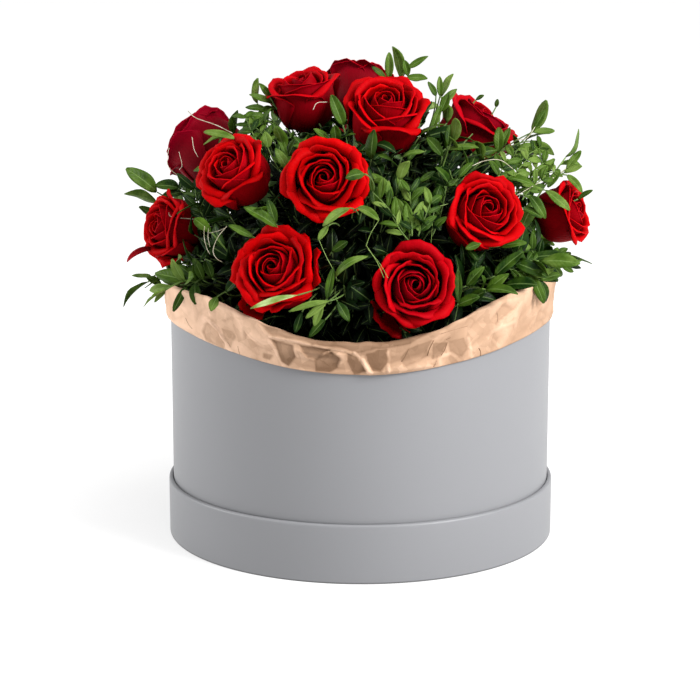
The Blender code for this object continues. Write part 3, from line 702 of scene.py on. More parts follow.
def board_finish():
    """Smooth grey covering paper: a very fine grain, painted rolls of light too slight to be seen as marks,
    and a painted contact shadow along its foot.
    """
    made = Finish("grey_covering_paper", 0.42, 0.4)
    fine = made.grain(2600.0, 2.0)
    colour = made.mix(made.grain(9.0, 1.0), (0.212, 0.214, 0.224), (0.232, 0.234, 0.245))
    colour = made.mix(made.times(fine, 0.12), colour, (0.16, 0.16, 0.175))
    # Painted contact shadow: the board's colour darkens towards its lowest 1.2 mm, where it stands on the
    # floor
    foot = made.between(made.place("Z"), (0.0004, 0.0012), (0.75, 0.0))
    colour = made.mix(foot, colour, (0.02, 0.02, 0.02))
    made.bump(fine, 0.00004)
    return made.coloured(colour)


def kraft_finish():
    """Kraft paper: as pale as its paint says, which holds painted shading round the box and painted shade and
    highlights on its folds, with fibres, mottling, facets painted lighter and darker as painted shading, and
    painted shade in its creases.
    """
    made = Finish("kraft_paper", 0.75, 0.2)
    tone, crease_shade = made.paint()[2:]
    mottled, fibres = made.grain(60.0, 5.0), made.grain(700.0, 4.0)
    aside = made.times(made.grain(160.0), 0.003)
    bent = made.node("VectorMath", {0: made.place(), 1: aside}, operation="ADD").outputs["Vector"]
    # Painted shading of the crumpled facets: each cell is painted a little lighter or darker, most at the
    # front
    painted_facet_shade = made.node("TexVoronoi", {"Vector": bent, "Scale": 190.0}).outputs["Color"]
    painted_facet_shade = made.node("SeparateColor", {"Color": painted_facet_shade}).outputs["Red"]
    front = made.between(made.place("Y"), (-0.12, -0.05), (1.0, 0.3))
    painted_facet_shade = made.times(made.minus(painted_facet_shade, 0.5), front)
    mottle_and_facet_shade = made.plus(made.minus(mottled, 0.5), painted_facet_shade)
    share = made.plus(tone, made.times(mottle_and_facet_shade, 0.14))
    colour = made.ramp(share, (0.0, (0.16, 0.088, 0.048)), (0.5, (0.44, 0.275, 0.175)),
                       (1.0, (0.92, 0.62, 0.44)))
    colour = made.mix(made.times(fibres, 0.12), colour, (0.30, 0.17, 0.10))
    # Painted shade in the creases, where the paper's relief bends most
    colour = made.mix(made.times(crease_shade, 0.35), colour, (0.20, 0.11, 0.06))
    made.bump(made.plus(fibres, mottled), 0.0002, 0.6)
    return made.coloured(colour)


def foam_finish():
    """Dark green wet foam with fine cells."""
    made = Finish("wet_foam", 0.95, 0.2)
    cells = made.node("TexVoronoi", {"Vector": made.place(), "Scale": 900.0}).outputs["Distance"]
    made.bump(cells, 0.0006)
    return made.coloured(made.ramp(cells, (0.1, (0.012, 0.045, 0.018)), (0.6, (0.05, 0.14, 0.06))))


def liner_finish():
    """Thin milky film with soft waves."""
    made = Finish("liner_film", 0.2, 0.5)
    waves = made.grain(30.0)
    made.shader.inputs["Alpha"].default_value = 0.45
    made.bump(waves, 0.0008)
    return made.coloured(made.mix(waves, (0.62, 0.66, 0.66), (0.78, 0.80, 0.80)))


# Box

# Roundings of the inner and outer edge of each lip, and of the foot
LID_LIP, BODY_LIP, FOOT_RADIUS = (0.5 * MM, 1.8 * MM), (0.6 * MM, 0.6 * MM), 0.7 * MM
ROUNDING_STEPS, TURN_STEPS, SHARP_ANGLE = 5, 256, 35


def turned(name, profile, finish):
    """A profile of (radius, height) points turned about Z and closed, running down its outer side."""
    mesh = bpy.data.meshes.new(name)
    links = [(k, k + 1) for k in range(len(profile) - 1)]
    mesh.from_pydata([(r, 0, z) for r, z in profile], links, [])
    obj = new_object(name, mesh)
    screw = obj.modifiers.new("Turn", "SCREW")
    screw.steps = screw.render_steps = TURN_STEPS
    screw.use_merge_vertices = True
    screw.merge_threshold = 1e-6
    screw.use_smooth_shade = True
    mesh.materials.append(finish)
    bpy.context.view_layer.update()
    made = bpy.data.meshes.new_from_object(obj.evaluated_get(bpy.context.evaluated_depsgraph_get()))
    obj.modifiers.clear()
    obj.data = made
    made.name = name
    made.shade_smooth()
    made.set_sharp_from_angle(angle=math.radians(SHARP_ANGLE))
    return obj


def rounded(corners, radii):
    """A section's corners, each rounded except for the first and last."""
    made = [corners[0]]
    for before, corner, after, radius in zip(corners, corners[1:], corners[2:], radii):
        a, b, c = np.array(before), np.array(corner), np.array(after)
        start, end = b + unit(a - b) * radius, b + unit(c - b) * radius
        made.extend(tuple(p) for p in np.vstack([start, curve_between(start, b, end, ROUNDING_STEPS)]))
    return [*made, corners[-1]]


def cup_section(outside, inside, bottom, floor, top, lip_radii):
    """A cup's section from the middle of its floor over its lip to the middle of its underside."""
    below = top - 3 * max(lip_radii)
    lip = [(inside, below), (inside, top), (outside, top), (outside, below)]
    foot = [(outside, below), (outside, bottom), (0, bottom)]
    return [(0, floor), (inside, floor), *rounded(lip, lip_radii), *rounded(foot, (FOOT_RADIUS,))[1:]]


def make_box(board):
    """The box's wall and the lid that it stands in."""
    lid_inside = BODY_RADIUS + SLIDE_GAP
    lid_section = cup_section(lid_inside + LID_BOARD, lid_inside, 0, LID_FLOOR, LID_HEIGHT, LID_LIP)
    bottom = LID_FLOOR + GAP
    body_section = cup_section(BODY_RADIUS, BODY_RADIUS - BOARD, bottom, bottom + BOARD, RIM_Z, BODY_LIP)
    lid, body = turned("box_lid", lid_section, board), turned("box_wall", body_section, board)
    for piece, name in ((lid, "box_lid_base"), (body, "box_body")):
        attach(piece, "root")
        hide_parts(name)


# Paper collar

FRONT_COLUMNS, BACK_COLUMNS = 560, 120
CREASE_SPACING = (16.0, 6.5)
CREASE_DEPTH = (2.6, 1.0)
# Height in mm of the flat sheet that is crumpled, and of the flat margin round it
FLAT_HEIGHT = MARGIN = 90
ROLL = 1.6 * MM
FOLD_WAVE, FOLD_LEAN = 0.35 * MM, 0.12
COLLAR_SHEET = 0.35 * MM

# Shares of the sheet's height where it starts and ends to fold over the rim. From just before the
# middle of the fold on, no crumple goes further in than the deepest dent.
FOLD_START, FOLD_END, NEAR_CREST = 0.42, 0.58, 0.49
DEEPEST_DENT = 0.35 * MM

# The part of the sheet that the photograph shows: azimuths up to this, and shares from this on
SEEN_AZIMUTH, SEEN_SHARE = 90, 0.47

# How pale the paper is painted at azimuths round the box: partly darker paper at the front, partly painted
# shading that makes the right, where the key lamp shines, darker than the left
PAPER_TONE_AND_SHADE = ((-180, 0.7), (-90, 0.70), (-62, 0.78), (-42, 0.78), (-25, 0.66), (-8, 0.46), (10, 0.46),
                (25, 0.52), (45, 0.52), (70, 0.50), (90, 0.50), (180, 0.7))

# Facets of the paper that are folded in, as they are seen in the photograph: how dark each is painted, partly
# darker paper and partly painted shade of the fold, and the pixels of its corners
PAPER_DENTS = (
    (0.20, ((209, 322), (203, 331), (207, 340), (224, 349), (225, 346), (219, 332))),
    (0.16, ((222, 329), (231, 331), (235, 336), (231, 348), (225, 339))),
    (0.42, ((273, 339), (293, 345), (295, 357), (289, 366), (282, 362), (277, 349))),
    (0.40, ((300, 345), (331, 350), (316, 358), (307, 357), (303, 352))),
    (0.46, ((314, 359), (332, 352), (340, 358), (337, 367), (330, 372), (316, 371))),
    (0.42, ((347, 353), (356, 357), (366, 371), (354, 374), (348, 362))),
    (0.25, ((264, 354), (273, 356), (270, 360), (264, 358))),
    (0.42, ((366, 354), (387, 349), (387, 362), (380, 371), (373, 371))),
    (0.22, ((401, 357), (409, 349), (432, 340), (426, 356), (413, 362), (403, 366))),
    (0.22, ((434, 344), (447, 342), (442, 357), (432, 360))),
    (0.18, ((449, 341), (464, 338), (468, 349), (462, 356), (451, 352))),
    (0.30, ((262, 325), (286, 332), (305, 336), (331, 341), (350, 343), (370, 341), (389, 340), (409, 337),
            (434, 330), (410, 343), (385, 348), (354, 352), (318, 346), (292, 339), (273, 336))),
)

# Width in pixels of a dent's soft border, and of the line of painted shade along it
SOFT_BORDER, SHADE_LINE_WIDTH = 1.4, 0.8
# How much deeper a dent or ridge is, in mm, than it is darker or paler
FOLD_DEPTH = 3

# Ridges of the paper: width in pixels, how much paler each is painted as a painted highlight, and the pixels
# that it passes
PAPER_RIDGES = (
    (1.6, 0.22, ((203, 317), (216, 325), (221, 332), (226, 346), (231, 352))),
    (1.2, 0.25, ((270, 340), (277, 354), (284, 366))),
    (1.0, 0.22, ((293, 346), (298, 357))),
    (1.1, 0.40, ((271, 336), (293, 340), (318, 346), (354, 352))),
    (1.4, 0.38, ((354, 352), (362, 360), (368, 372))),
    (1.8, 0.35, ((362, 356), (371, 373))),
    (1.5, 0.35, ((388, 350), (388, 371))),
    (1.5, 0.25, ((442, 357), (452, 353), (459, 360))),
    (1.8, 0.22, ((468, 339), (472, 356))),
    (1.4, 0.16, ((492, 331), (513, 322))),
    (1.4, 0.16, ((492, 339), (499, 346))),
)

# Short creases, drawn as thin tubes painted dark as their painted shade: radius in mm and the pixels that
# each passes
PAPER_NICKS = (
    (0.20, ((186, 318), (189, 324), (192, 329))),
    (0.18, ((227, 341), (229, 344), (231, 347))),
    (0.18, ((238, 346), (239, 350), (240, 354))),
    (0.24, ((409, 349), (405, 356), (401, 362))),
    (0.34, ((433, 340), (430, 348), (427, 356))),
    (0.26, ((447, 343), (444, 350), (441, 355))),
    (0.30, ((479, 348), (480, 352), (480, 356))),
    (0.16, ((441, 334), (450, 331), (462, 328), (473, 325))),
    (0.16, ((497, 312), (498, 317), (497, 321))),
    (0.20, ((451, 337), (449, 338), (446, 340))),
    (0.22, ((437, 361), (435, 364), (433, 367))),
)


def creased(turns, heights, spacing, seed):
    """Random facets with sharp creases between them, from -1 to 1, on a sheet that goes round the box."""
    draw = np.random.default_rng(seed)
    round_mm = 2 * np.pi * BODY_RADIUS / MM
    tall_mm = heights[-1]
    count = int(round_mm * tall_mm / spacing**2)
    spots = draw.uniform((-spacing, -spacing), (round_mm + spacing, tall_mm + spacing), (count, 2))
    levels = draw.uniform(-1, 1, count)
    far = [(across, up) for across in (-MARGIN, round_mm + MARGIN) for up in (-MARGIN, tall_mm + MARGIN)]
    spots = np.vstack([spots, far])
    levels = np.append(levels, [0] * len(far))
    found = geometry.delaunay_2d_cdt([Vector(p) for p in spots], [], [], 0, 1e-4)
    flat, triangles, origin = found[0], found[2], found[3]
    corners = [(p.x, p.y, levels[origin[k][0]]) for k, p in enumerate(flat)]
    surface = BVHTree.FromPolygons(corners, triangles)
    made = np.zeros((len(heights), len(turns)))
    for row, height in enumerate(heights):
        for column, turn in enumerate(turns):
            above = Vector((round_mm * (turn - turns[0]) / 360, height, 5))
            hit = surface.ray_cast(above, Vector((0, 0, -1)))[0]
            made[row, column] = hit.z if hit is not None else 0
    return made


def collar_grid(turns, shares, relief):
    """The sheet: up inside the wall, over the rim in a soft roll, and down outside to its edge."""
    a = np.radians(turns)[None, :]
    fold, cuff = fold_height(turns)[None, :], cuff_height(turns)[None, :]
    fold = fold + FOLD_WAVE * np.sin(31 * a + 2 * np.sin(13 * a))
    middle = (PAPER_INSIDE + PAPER_OUTSIDE) / 2 + FOLD_LEAN * (fold - RIM_Z)
    ripple = (0.5 + 0.5 * np.sin(9 * a + 2 * np.sin(3 * a))) * MM
    w = shares[:, None]
    up = np.clip(w / FOLD_START, 0, 1)
    over = np.clip((w - FOLD_START) / (FOLD_END - FOLD_START), 0, 1)
    down = np.clip((w - FOLD_END) / (1 - FOLD_END), 0, 1)
    inner = PAPER_INSIDE + (middle - ROLL - PAPER_INSIDE) * smooth_step(up, 0.55, 1)
    radius = inner + ROLL * (1 - np.cos(np.pi * over))
    radius = radius + (PAPER_OUTSIDE + ripple - (middle + ROLL)) * smooth_step(down, 0, 0.8)
    radius = radius + pushed(relief, w, up, down)
    roll_foot = fold - FOLD_CLEARANCE
    height = PAPER_BOTTOM + (roll_foot - PAPER_BOTTOM) * up + ROLL * np.sin(np.pi * over)
    height = height + (cuff - roll_foot) * down
    return around(a, radius, height)


def pushed(relief, w, up, down):
    """How far crumples push the sheet out: less inside the box and at the cuff's edge."""
    inside, outside = 0.25 + 0.5 * smooth_step(up, 0.6, 1), 1 - 0.8 * smooth_step(down, 0.88, 1)
    push = relief * MM * np.where(w < FOLD_START, inside, outside)
    lifted = np.maximum(push, -DEEPEST_DENT) + DEEPEST_DENT * smooth_step(w, NEAR_CREST, FOLD_END)
    return np.where(w > NEAR_CREST, lifted, push)


def from_line(spots, corners):
    """Distance of spots from a line through corners."""
    nearest = np.full(spots.shape[:-1], np.inf)
    for start, end in zip(corners, corners[1:]):
        leg = np.subtract(end, start)
        along = np.clip((spots - start) @ leg / (leg @ leg), 0, 1)
        nearest = np.minimum(nearest, np.linalg.norm(spots - start - along[..., None] * leg, axis=-1))
    return nearest


def inside_outline(spots, corners):
    """1 inside an outline, 0 outside, with a soft border."""
    inside = np.zeros(spots.shape[:-1], bool)
    for (x1, y1), (x2, y2) in zip(corners, (*corners[1:], corners[0])):
        if y1 != y2:
            beyond = spots[..., 0] < x1 + (x2 - x1) * (spots[..., 1] - y1) / (y2 - y1)
            inside ^= ((y1 > spots[..., 1]) != (y2 > spots[..., 1])) & beyond
    edge = from_line(spots, (*corners, corners[0]))
    return np.clip(0.5 + np.where(inside, edge, -edge) / SOFT_BORDER, 0, 1)


def collar_places():
    """Turns round the box in degrees, from its back round its front, and shares of the sheet's height."""
    turns = np.concatenate([np.linspace(180, 265, BACK_COLUMNS // 2, endpoint=False),
                            np.linspace(265, 455, FRONT_COLUMNS, endpoint=False),
                            np.linspace(455, 540, BACK_COLUMNS // 2)])
    shares = np.concatenate([np.linspace(0, FOLD_START, 10), np.linspace(0.44, 0.56, 9),
                             np.linspace(FOLD_END, 1, 32)])
    return turns, shares


def add_seen_folds(relief, tone, fine, spots, seen):
    """Adds the dents and ridges of the photograph to the relief, and their painted shade and painted
    highlights to the tone of the paper.
    """
    for dark, corners in PAPER_DENTS:
        share = seen * inside_outline(spots, corners)
        border = seen * np.exp(-((from_line(spots, (*corners, corners[0])) / SHADE_LINE_WIDTH) ** 2))
        # Painted shade: each dent is painted darker, and a darker line is painted along its border
        tone -= dark * share * (1 + 0.7 * fine)
        tone -= 0.5 * dark * border
        relief -= FOLD_DEPTH * dark * share
    for width, pale, corners in PAPER_RIDGES:
        share = seen * np.exp(-((from_line(spots, corners) / width) ** 2))
        # Painted highlight along each ridge
        tone += pale * share
        relief += FOLD_DEPTH * pale * share


def add_nicks(heap, places):
    """Thin tubes painted dark on the paper, the painted shade of creases, each along the points nearest to
    its pixels.
    """
    spots = in_photo(places)
    for radius, corners in PAPER_NICKS:
        path = np.array([places[np.argmin(np.linalg.norm(spots - corner, axis=1))] for corner in corners])
        # Painted darkest, with full crease shade
        heap.tube(smooth_path(path * (1.001, 1.001, 1), 8), radius * MM, 4, (0.5, 0.5, 0, 1))


def make_collar(kraft):
    """The crumpled sheet, with the folds that stand out in the photograph."""
    turns, shares = collar_places()
    azimuths = turns - 360
    calm = 1 - 0.45 * smooth_step(abs(azimuths), 35, 80)
    wide, fine = (creased(turns, shares * FLAT_HEIGHT, spacing, CREASE_SEED + k) * calm
                  for k, spacing in enumerate(CREASE_SPACING))
    relief = CREASE_DEPTH[0] * wide + CREASE_DEPTH[1] * fine
    relief[:, -1] = relief[:, 0]
    spots = in_photo(collar_grid(turns, shares, 0 * relief)) + 1.1 * fine[..., None]
    seen = (abs(azimuths) < SEEN_AZIMUTH)[None, :] & (shares > SEEN_SHARE)[:, None]
    # The tone also holds painted shade in the crumples: paler where the relief stands out, darker in its
    # hollows
    tone = np.interp(azimuths, *zip(*PAPER_TONE_AND_SHADE)) + 0.05 * relief + 0.09 * fine
    add_seen_folds(relief, tone, fine, spots, seen)
    grid = collar_grid(turns, shares, relief)
    # Painted shade in the creases: the paint's last number grows where the relief bends most
    bend = sum(abs(np.gradient(np.gradient(relief, axis=k), axis=k)) for k in (0, 1))
    paint = paint_of(turns / turns[-1], shares[:, None], np.clip(tone, 0, 1), np.clip(1.5 * bend, 0, 1))
    heap = Heap()
    heap.sheet(grid, COLLAR_SHEET, paint)
    add_nicks(heap, grid[seen])
    piece = heap.piece("kraft_collar", kraft)
    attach(piece, "root")
    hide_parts("paper_collar")


# Roses

# Sections of the petals of a bloom of unit size, from the innermost layer, 0, to the outermost, 1,
# and past it for those that hang. Each is four control points of (distance from the axis, height) in
# mm up to where the rim starts to roll over, and the radius in mm and angle in degrees of that roll.
LAYERS = (
    (0.00, (5.0, 4.6), (8.0, 14), (7.5, 32), (2.6, 41.5), 1.0, 30),
    (0.30, (7.2, 4.6), (13.0, 10), (12.5, 32), (7.2, 43.0), 1.4, 60),
    (0.60, (8.6, 4.6), (18.5, 8), (17.5, 30), (13.4, 41.5), 2.0, 95),
    (0.85, (10.0, 4.6), (22.5, 5), (20.5, 28), (18.6, 38.5), 2.8, 120),
    (1.00, (10.6, 4.6), (25.0, 4.5), (21.5, 26), (22.0, 35.0), 3.4, 135),
    (1.30, (10.8, 4.2), (25.5, 2.0), (26.5, 16), (25.5, 24.0), 4.0, 120),
    (1.60, (10.8, 4.0), (25.0, 0.0), (31.0, 9.0), (34.0, 15.0), 3.0, 60),
)

# The petals, ring by ring: how many, their layer, half width in degrees, how much nearer to the
# middle one side is than the other, as a share, and the azimuth of the first
RINGS = (
    (2, 0.02, 150, 0.42, 0),
    (2, 0.15, 120, 0.28, 70),
    (3, 0.32, 92, 0.20, 0),
    (3, 0.50, 84, 0.17, 85),
    (3, 0.67, 78, 0.14, 50),
    (4, 0.84, 66, 0.11, 20),
    (5, 1.00, 54, 0.09, 100),
)
# The same of blooms that are seen from the side or from behind, which have fewer and broader petals.
# Here and below, a rose's number is the one in the names of its pieces.
LOOSE_ROSES = (6, 8, 10, 11)
LOOSE_RINGS = (
    (2, 0.02, 150, 0.42, 0),
    (2, 0.18, 120, 0.28, 70),
    (2, 0.42, 112, 0.20, 20),
    (2, 0.68, 104, 0.15, 100),
    (3, 0.88, 84, 0.11, 20),
    (3, 1.00, 78, 0.09, 80),
)
# Blooms whose petals are drawn by a seed of their own
OTHER_SEEDS = {4: 613, 5: 614}
# Blooms whose petals are turned, in degrees, so that the rim of one lies across their front
FRONT_TURNS = {5: 47}
SHAPE_TURN = 25
PETAL_SHEET = 0.45 * MM
PETAL_ROWS, PETAL_COLUMNS = 17, 15
# The share of a petal that is its wall. The rest is its rim, which rolls over.
WALL_SHARE = 0.74
# How much darker, on the roses' scale, a petal's back is painted than its front, partly its duller colour and
# partly painted shade
BACK_SHADE = 0.45

# Petals that hang under a bloom: the rose's number, the petal's azimuth, layer and half width in degrees
HANGING = (
    (1, -43, 1.6, 20), (1, 30, 1.15, 40), (1, 98, 1.28, 34), (4, 165, 1.22, 40),
    (2, -86, 1.5, 36), (3, -4, 1.15, 44), (9, -16, 1.25, 44), (9, -65, 1.3, 44),
)
HANGING_SWIRL = 0.04

# Narrow petals that curl away from a bloom: the rose's number, the places in the photograph of their
# root and tip, their width in mm and how much they arch
CURLED = ((9, (152, 249, 22), (127, 262, 20), 4.2, 1.7),)


def layer_section(layer):
    """The four control points, the roll's radius and its angle of a layer, between those of the table."""
    rows = [row[0] for row in LAYERS]
    points = [[np.interp(layer, rows, [row[k][c] for row in LAYERS]) for c in (0, 1)] for k in (1, 2, 3, 4)]
    return np.array(points), *(np.interp(layer, rows, [row[k] for row in LAYERS]) for k in (5, 6))


def petal_outline(layer, outer, u, v, draw):
    """Distance from the axis and height, in mm, of a petal that rises as a wall and rolls over at its rim."""
    section, roll, angle = layer_section(layer)
    reach = 1 - 0.27 * abs(u) ** 2.2 - draw.uniform(0, 0.05) * outer
    s = np.minimum(v / WALL_SHARE, 1) * reach
    weights = np.stack([(1 - s) ** 3, 3 * s * (1 - s) ** 2, 3 * s**2 * (1 - s), s**3], axis=-1)
    radius, height = np.moveaxis(weights @ section, -1, 0)
    slopes = np.stack([(1 - s) ** 2, 2 * s * (1 - s), s**2], axis=-1) @ np.diff(section, axis=0)
    slopes /= np.linalg.norm(slopes, axis=-1, keepdims=True)
    rim = np.clip((v - WALL_SHARE) / (1 - WALL_SHARE), 0, 1)
    shoulders = 0.75 + draw.uniform(0.2, 0.6) * outer * np.exp(-(((abs(u) - 0.6) / 0.3) ** 2))
    turn = np.radians(angle) * draw.uniform(0.75, 1.2) * shoulders * rim * (1 - 0.75 * abs(u) ** 6)
    roll = roll * (1 + draw.uniform(0, 0.5) * outer * (1 - abs(u)) ** 2)
    radius = radius + roll * (np.sin(turn) * slopes[..., 0] + (1 - np.cos(turn)) * slopes[..., 1])
    height = height + roll * (np.sin(turn) * slopes[..., 1] - (1 - np.cos(turn)) * slopes[..., 0])
    return radius, height


def petal_grid(layer, azimuth, half_width, swirl, draw):
    """Points of one petal in a bloom of unit size, in metres, and its two coordinates."""
    u = np.linspace(-1, 1, PETAL_COLUMNS)[None, :]
    v = (np.linspace(0, 1, PETAL_ROWS) ** 0.8)[:, None]
    outer = min(1.0, layer + 0.15)
    radius, height = petal_outline(layer, outer, u, v, draw)
    beat, phase = draw.uniform(2.5, 5), draw.uniform(0, 2 * np.pi)
    ruffle = (0.2 + 0.8 * outer) * 0.9 * v**3 * np.sin(beat * u + phase)
    notches = 1.1 * outer * v**4 * np.sin(2.6 * beat * u + 5 * phase) * np.cos(1.1 * beat * u - 2 * phase)
    radius = radius * (1 + swirl * u) + ruffle + notches + draw.uniform(-0.6, 0.6) * outer * v
    tilt = draw.uniform(-1, 1) * u * v**2
    height = height + (0.7 * ruffle * np.cos(1.7 * beat * u) + tilt + notches) * outer
    a = np.radians(azimuth + u * half_width * np.minimum(1.0, 0.35 + 0.9 * v))
    return around(a, radius, height) * MM, (u + 1) / 2, v


def petal_places(rose, draw):
    """Layer, azimuth, half width and swirl of each petal of a bloom."""
    places = []
    turn = SHAPE_TURN * rose.shape + FRONT_TURNS.get(rose.number, 0)
    for count, layer, half_width, swirl, first in LOOSE_RINGS if rose.number in LOOSE_ROSES else RINGS:
        for k in range(count):
            azimuth = 360 * k / count + first + turn + draw.uniform(-8, 8)
            places.append((layer + draw.uniform(-0.03, 0.03) * min(1, 3 * layer), azimuth, half_width, swirl))
    for number, azimuth, layer, half_width in HANGING:
        if number == rose.number:
            places.append((layer, azimuth, half_width, HANGING_SWIRL))
    return places


def make_bloom(rose, velvet):
    """A bloom: a scroll of petals in the middle, and rings of wider ones that lap over each other."""
    draw = np.random.default_rng(OTHER_SEEDS.get(rose.number, BLOOM_SEED + rose.number))
    heap = Heap()
    for place in petal_places(rose, draw):
        grid, u, v = petal_grid(*place, draw)
        dark, tone = np.clip(rose.dark + draw.uniform(-0.1, 0.1), 0, 1), draw.uniform(0, 1)
        back = np.clip(dark + BACK_SHADE, 0, 1)
        heap.sheet(rose.place(grid), PETAL_SHEET, paint_of(u, v, tone, dark), paint_of(u, v, tone, back))
    for number, root_place, tip_place, width, arch in CURLED:
        if number == rose.number:
            curled = arched_leaf(seen_at(root_place), seen_at(tip_place), width * MM, arch)
            across, along = np.linspace(-1, 1, 7), np.linspace(0.02, 0.985, 12)
            paint = paint_of((across[None, :] + 1) / 2, along[:, None], 0.5, 0.6)
            heap.sheet(curled.grid(across, along, 0.5, 0.6), PETAL_SHEET, paint)
    # The bloom's middle, painted as dark as the petals' feet in their painted shade
    heap.tube(rose.place([(0, 0, z * MM) for z in (2.4, 4, 7, 12)]), np.array([9.5, 9.0, 6.0, 3.0]) * MM, 16,
              (0.5, 0.1, 0.5, rose.dark))
    piece = heap.piece(f"bloom_{rose.number:02d}", velvet)
    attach(piece, "root")
    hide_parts(f"rose_{rose.number:02d}_bloom")


def make_rose_stem(rose, green):
    """A round stem that widens to the calyx, and its sepals, bent back."""
    draw = np.random.default_rng(STEM_SEED + rose.number)
    heap = Heap()
    radius = ROSE_STEM * rose.size
    path = np.vstack([smooth_path(rose.stem[:-2], 16), rose.stem[-2:]])
    radii = radius * np.append(np.full(15, 1.0), CALYX_WIDENING)
    heap.tube(path, radii, 12, stem_paint(draw.uniform(0.2, 0.6), 0.5))
    for k in range(SEPALS):
        start = rose.place(around(2 * np.pi * k / SEPALS + SEPAL_TURN, SEPAL_START, STAR_HEIGHT))
        tip = rose.place(sepal_corner(2 * k))
        length = 1.1 * np.linalg.norm(tip - start)
        leaf = Leaf(start, tip - start, rose.axis, length, 6 * MM, draw.uniform(0.3, 1.2))
        across, along = np.linspace(-1, 1, 5), np.linspace(0.02, 0.99, 9)
        paint = paint_of((across[None, :] + 1) / 2, along[:, None], draw.uniform(0, 1), 0.35)
        heap.sheet(leaf.grid(across, along, 0.6, -0.3), SEPAL_SHEET, paint)
    piece = heap.piece(f"rose_stem_{rose.number:02d}", green)
    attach(piece, "root")
    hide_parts(f"rose_{rose.number:02d}_stem")


# Foliage

LEAF_SHEET = 0.3 * MM
# Painted shade of the deep foliage: leaves nearer to the dome's middle than the second of these, in mm, are
# painted darker, up to the first
SHADE_DEPTH = (90, 130)
SMALL_LEAVES, SMALL_LEAF_LENGTH = 9, 15 * MM
SMALL_LEAF_TRIES, SMALL_LEAF_GAP, SMALL_LEAF_FREE = 4, 0.8 * MM, 0.05


def add_leaf(heap, leaf, light, draw, rows=9, columns=5, least=0):
    """A leaf with a blunt or pointed tip, a wavy edge, and a bend to one side."""
    across, along = np.linspace(-1, 1, columns), np.linspace(0.01, 0.985, rows)
    grid = leaf.grid(across, along, draw.uniform(0.5, 0.8), draw.uniform(0.1, 0.5), draw.uniform(0.8, 1.15))
    u, v = across[None, :, None], along[:, None, None]
    wave = 0.06 * leaf.width * abs(u) * np.sin(draw.uniform(6, 10) * v + draw.uniform(0, 6))
    aside = 0.2 * leaf.width * draw.uniform(-1, 1) * v**2
    grid = grid + leaf.up * wave + leaf.side * aside
    # Painted shade: leaves rooted deep in the foliage are painted darker
    deep = max(least, smooth_step(np.linalg.norm(leaf.root - DOME) / MM, *SHADE_DEPTH))
    paint = paint_of((across[None, :] + 1) / 2, along[:, None], deep * draw.uniform(0.5, 1), light * deep)
    heap.sheet(grid, LEAF_SHEET, paint)


def make_spray(spray, green, room):
    """A leafy stem as the solid has it, with smaller leaves between its pairs."""
    draw = np.random.default_rng(SMALL_LEAF_SEED + spray.number)
    heap = Heap()
    path = smooth_path(spray.path, 22)
    heap.tube(path, np.linspace(SPRAY_STEM, 0.45 * MM, len(path)), 8, stem_paint(0.6, 0.5))
    for leaf in spray.leaves:
        add_leaf(heap, leaf, spray.light, draw)
    points, ways = along_path(path, 1 * MM)
    for at in np.linspace(0.42, 0.97, SMALL_LEAVES):
        k = int(at * (len(points) - 1))
        add_small_leaf(heap, points[k], unit(ways[k]), spray.light, SMALL_LEAF_LENGTH, draw, room)
    piece = heap.piece(f"leafy_spray_{spray.number:02d}", green)
    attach(piece, "root")
    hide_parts(f"spray_{spray.number:02d}")


def add_small_leaf(heap, root, way, light, length, draw, room, rows=8, columns=5):
    """A leaf at a random turn round its stem, if one of a few tries is clear of what stands there."""
    outward = unit(root - LEAVES_FACE_FROM)
    for attempt in range(SMALL_LEAF_TRIES):
        aside = np.cross(way, draw.uniform(-1, 1, 3))
        along = 0.8 * way + unit(aside) + 0.25 * outward
        size = length * draw.uniform(0.75, 1.3)
        up = outward + 0.5 * draw.uniform(-1, 1, 3)
        leaf = Leaf(root, along, up, size, size * draw.uniform(0.3, 0.42), draw.uniform(0.2, 1.0))
        spots = leaf.points(SMALL_LEAF_FREE)
        if room.clear(spots, SMALL_LEAF_GAP) and not hides_bloom(spots):
            add_leaf(heap, leaf, light, draw, rows, columns)
            return


FILLER_SPRIGS, FILLER_PIECES, FILLER_LEAVES, FILLER_TRIES = 360, 6, 13, 10
# The turn from one sprig to the next, which never repeats, and how near to the top they come
GOLDEN_TURN, FILLER_TOP = 137.508, 0.97
# How far sprigs reach from the dome's middle, how much less at each further try, and how much more
# above and at the sides, in mm
FILLER_REACH, FILLER_RETREAT, FILLER_ABOVE, FILLER_ASIDE = (92, 118), 2.5, 7, 6
# The hollow in front: its azimuths and its highest elevation, and how much deeper it lies, in mm
HOLLOW = (-26, 8, 42)
HOLLOW_DEPTH = 16


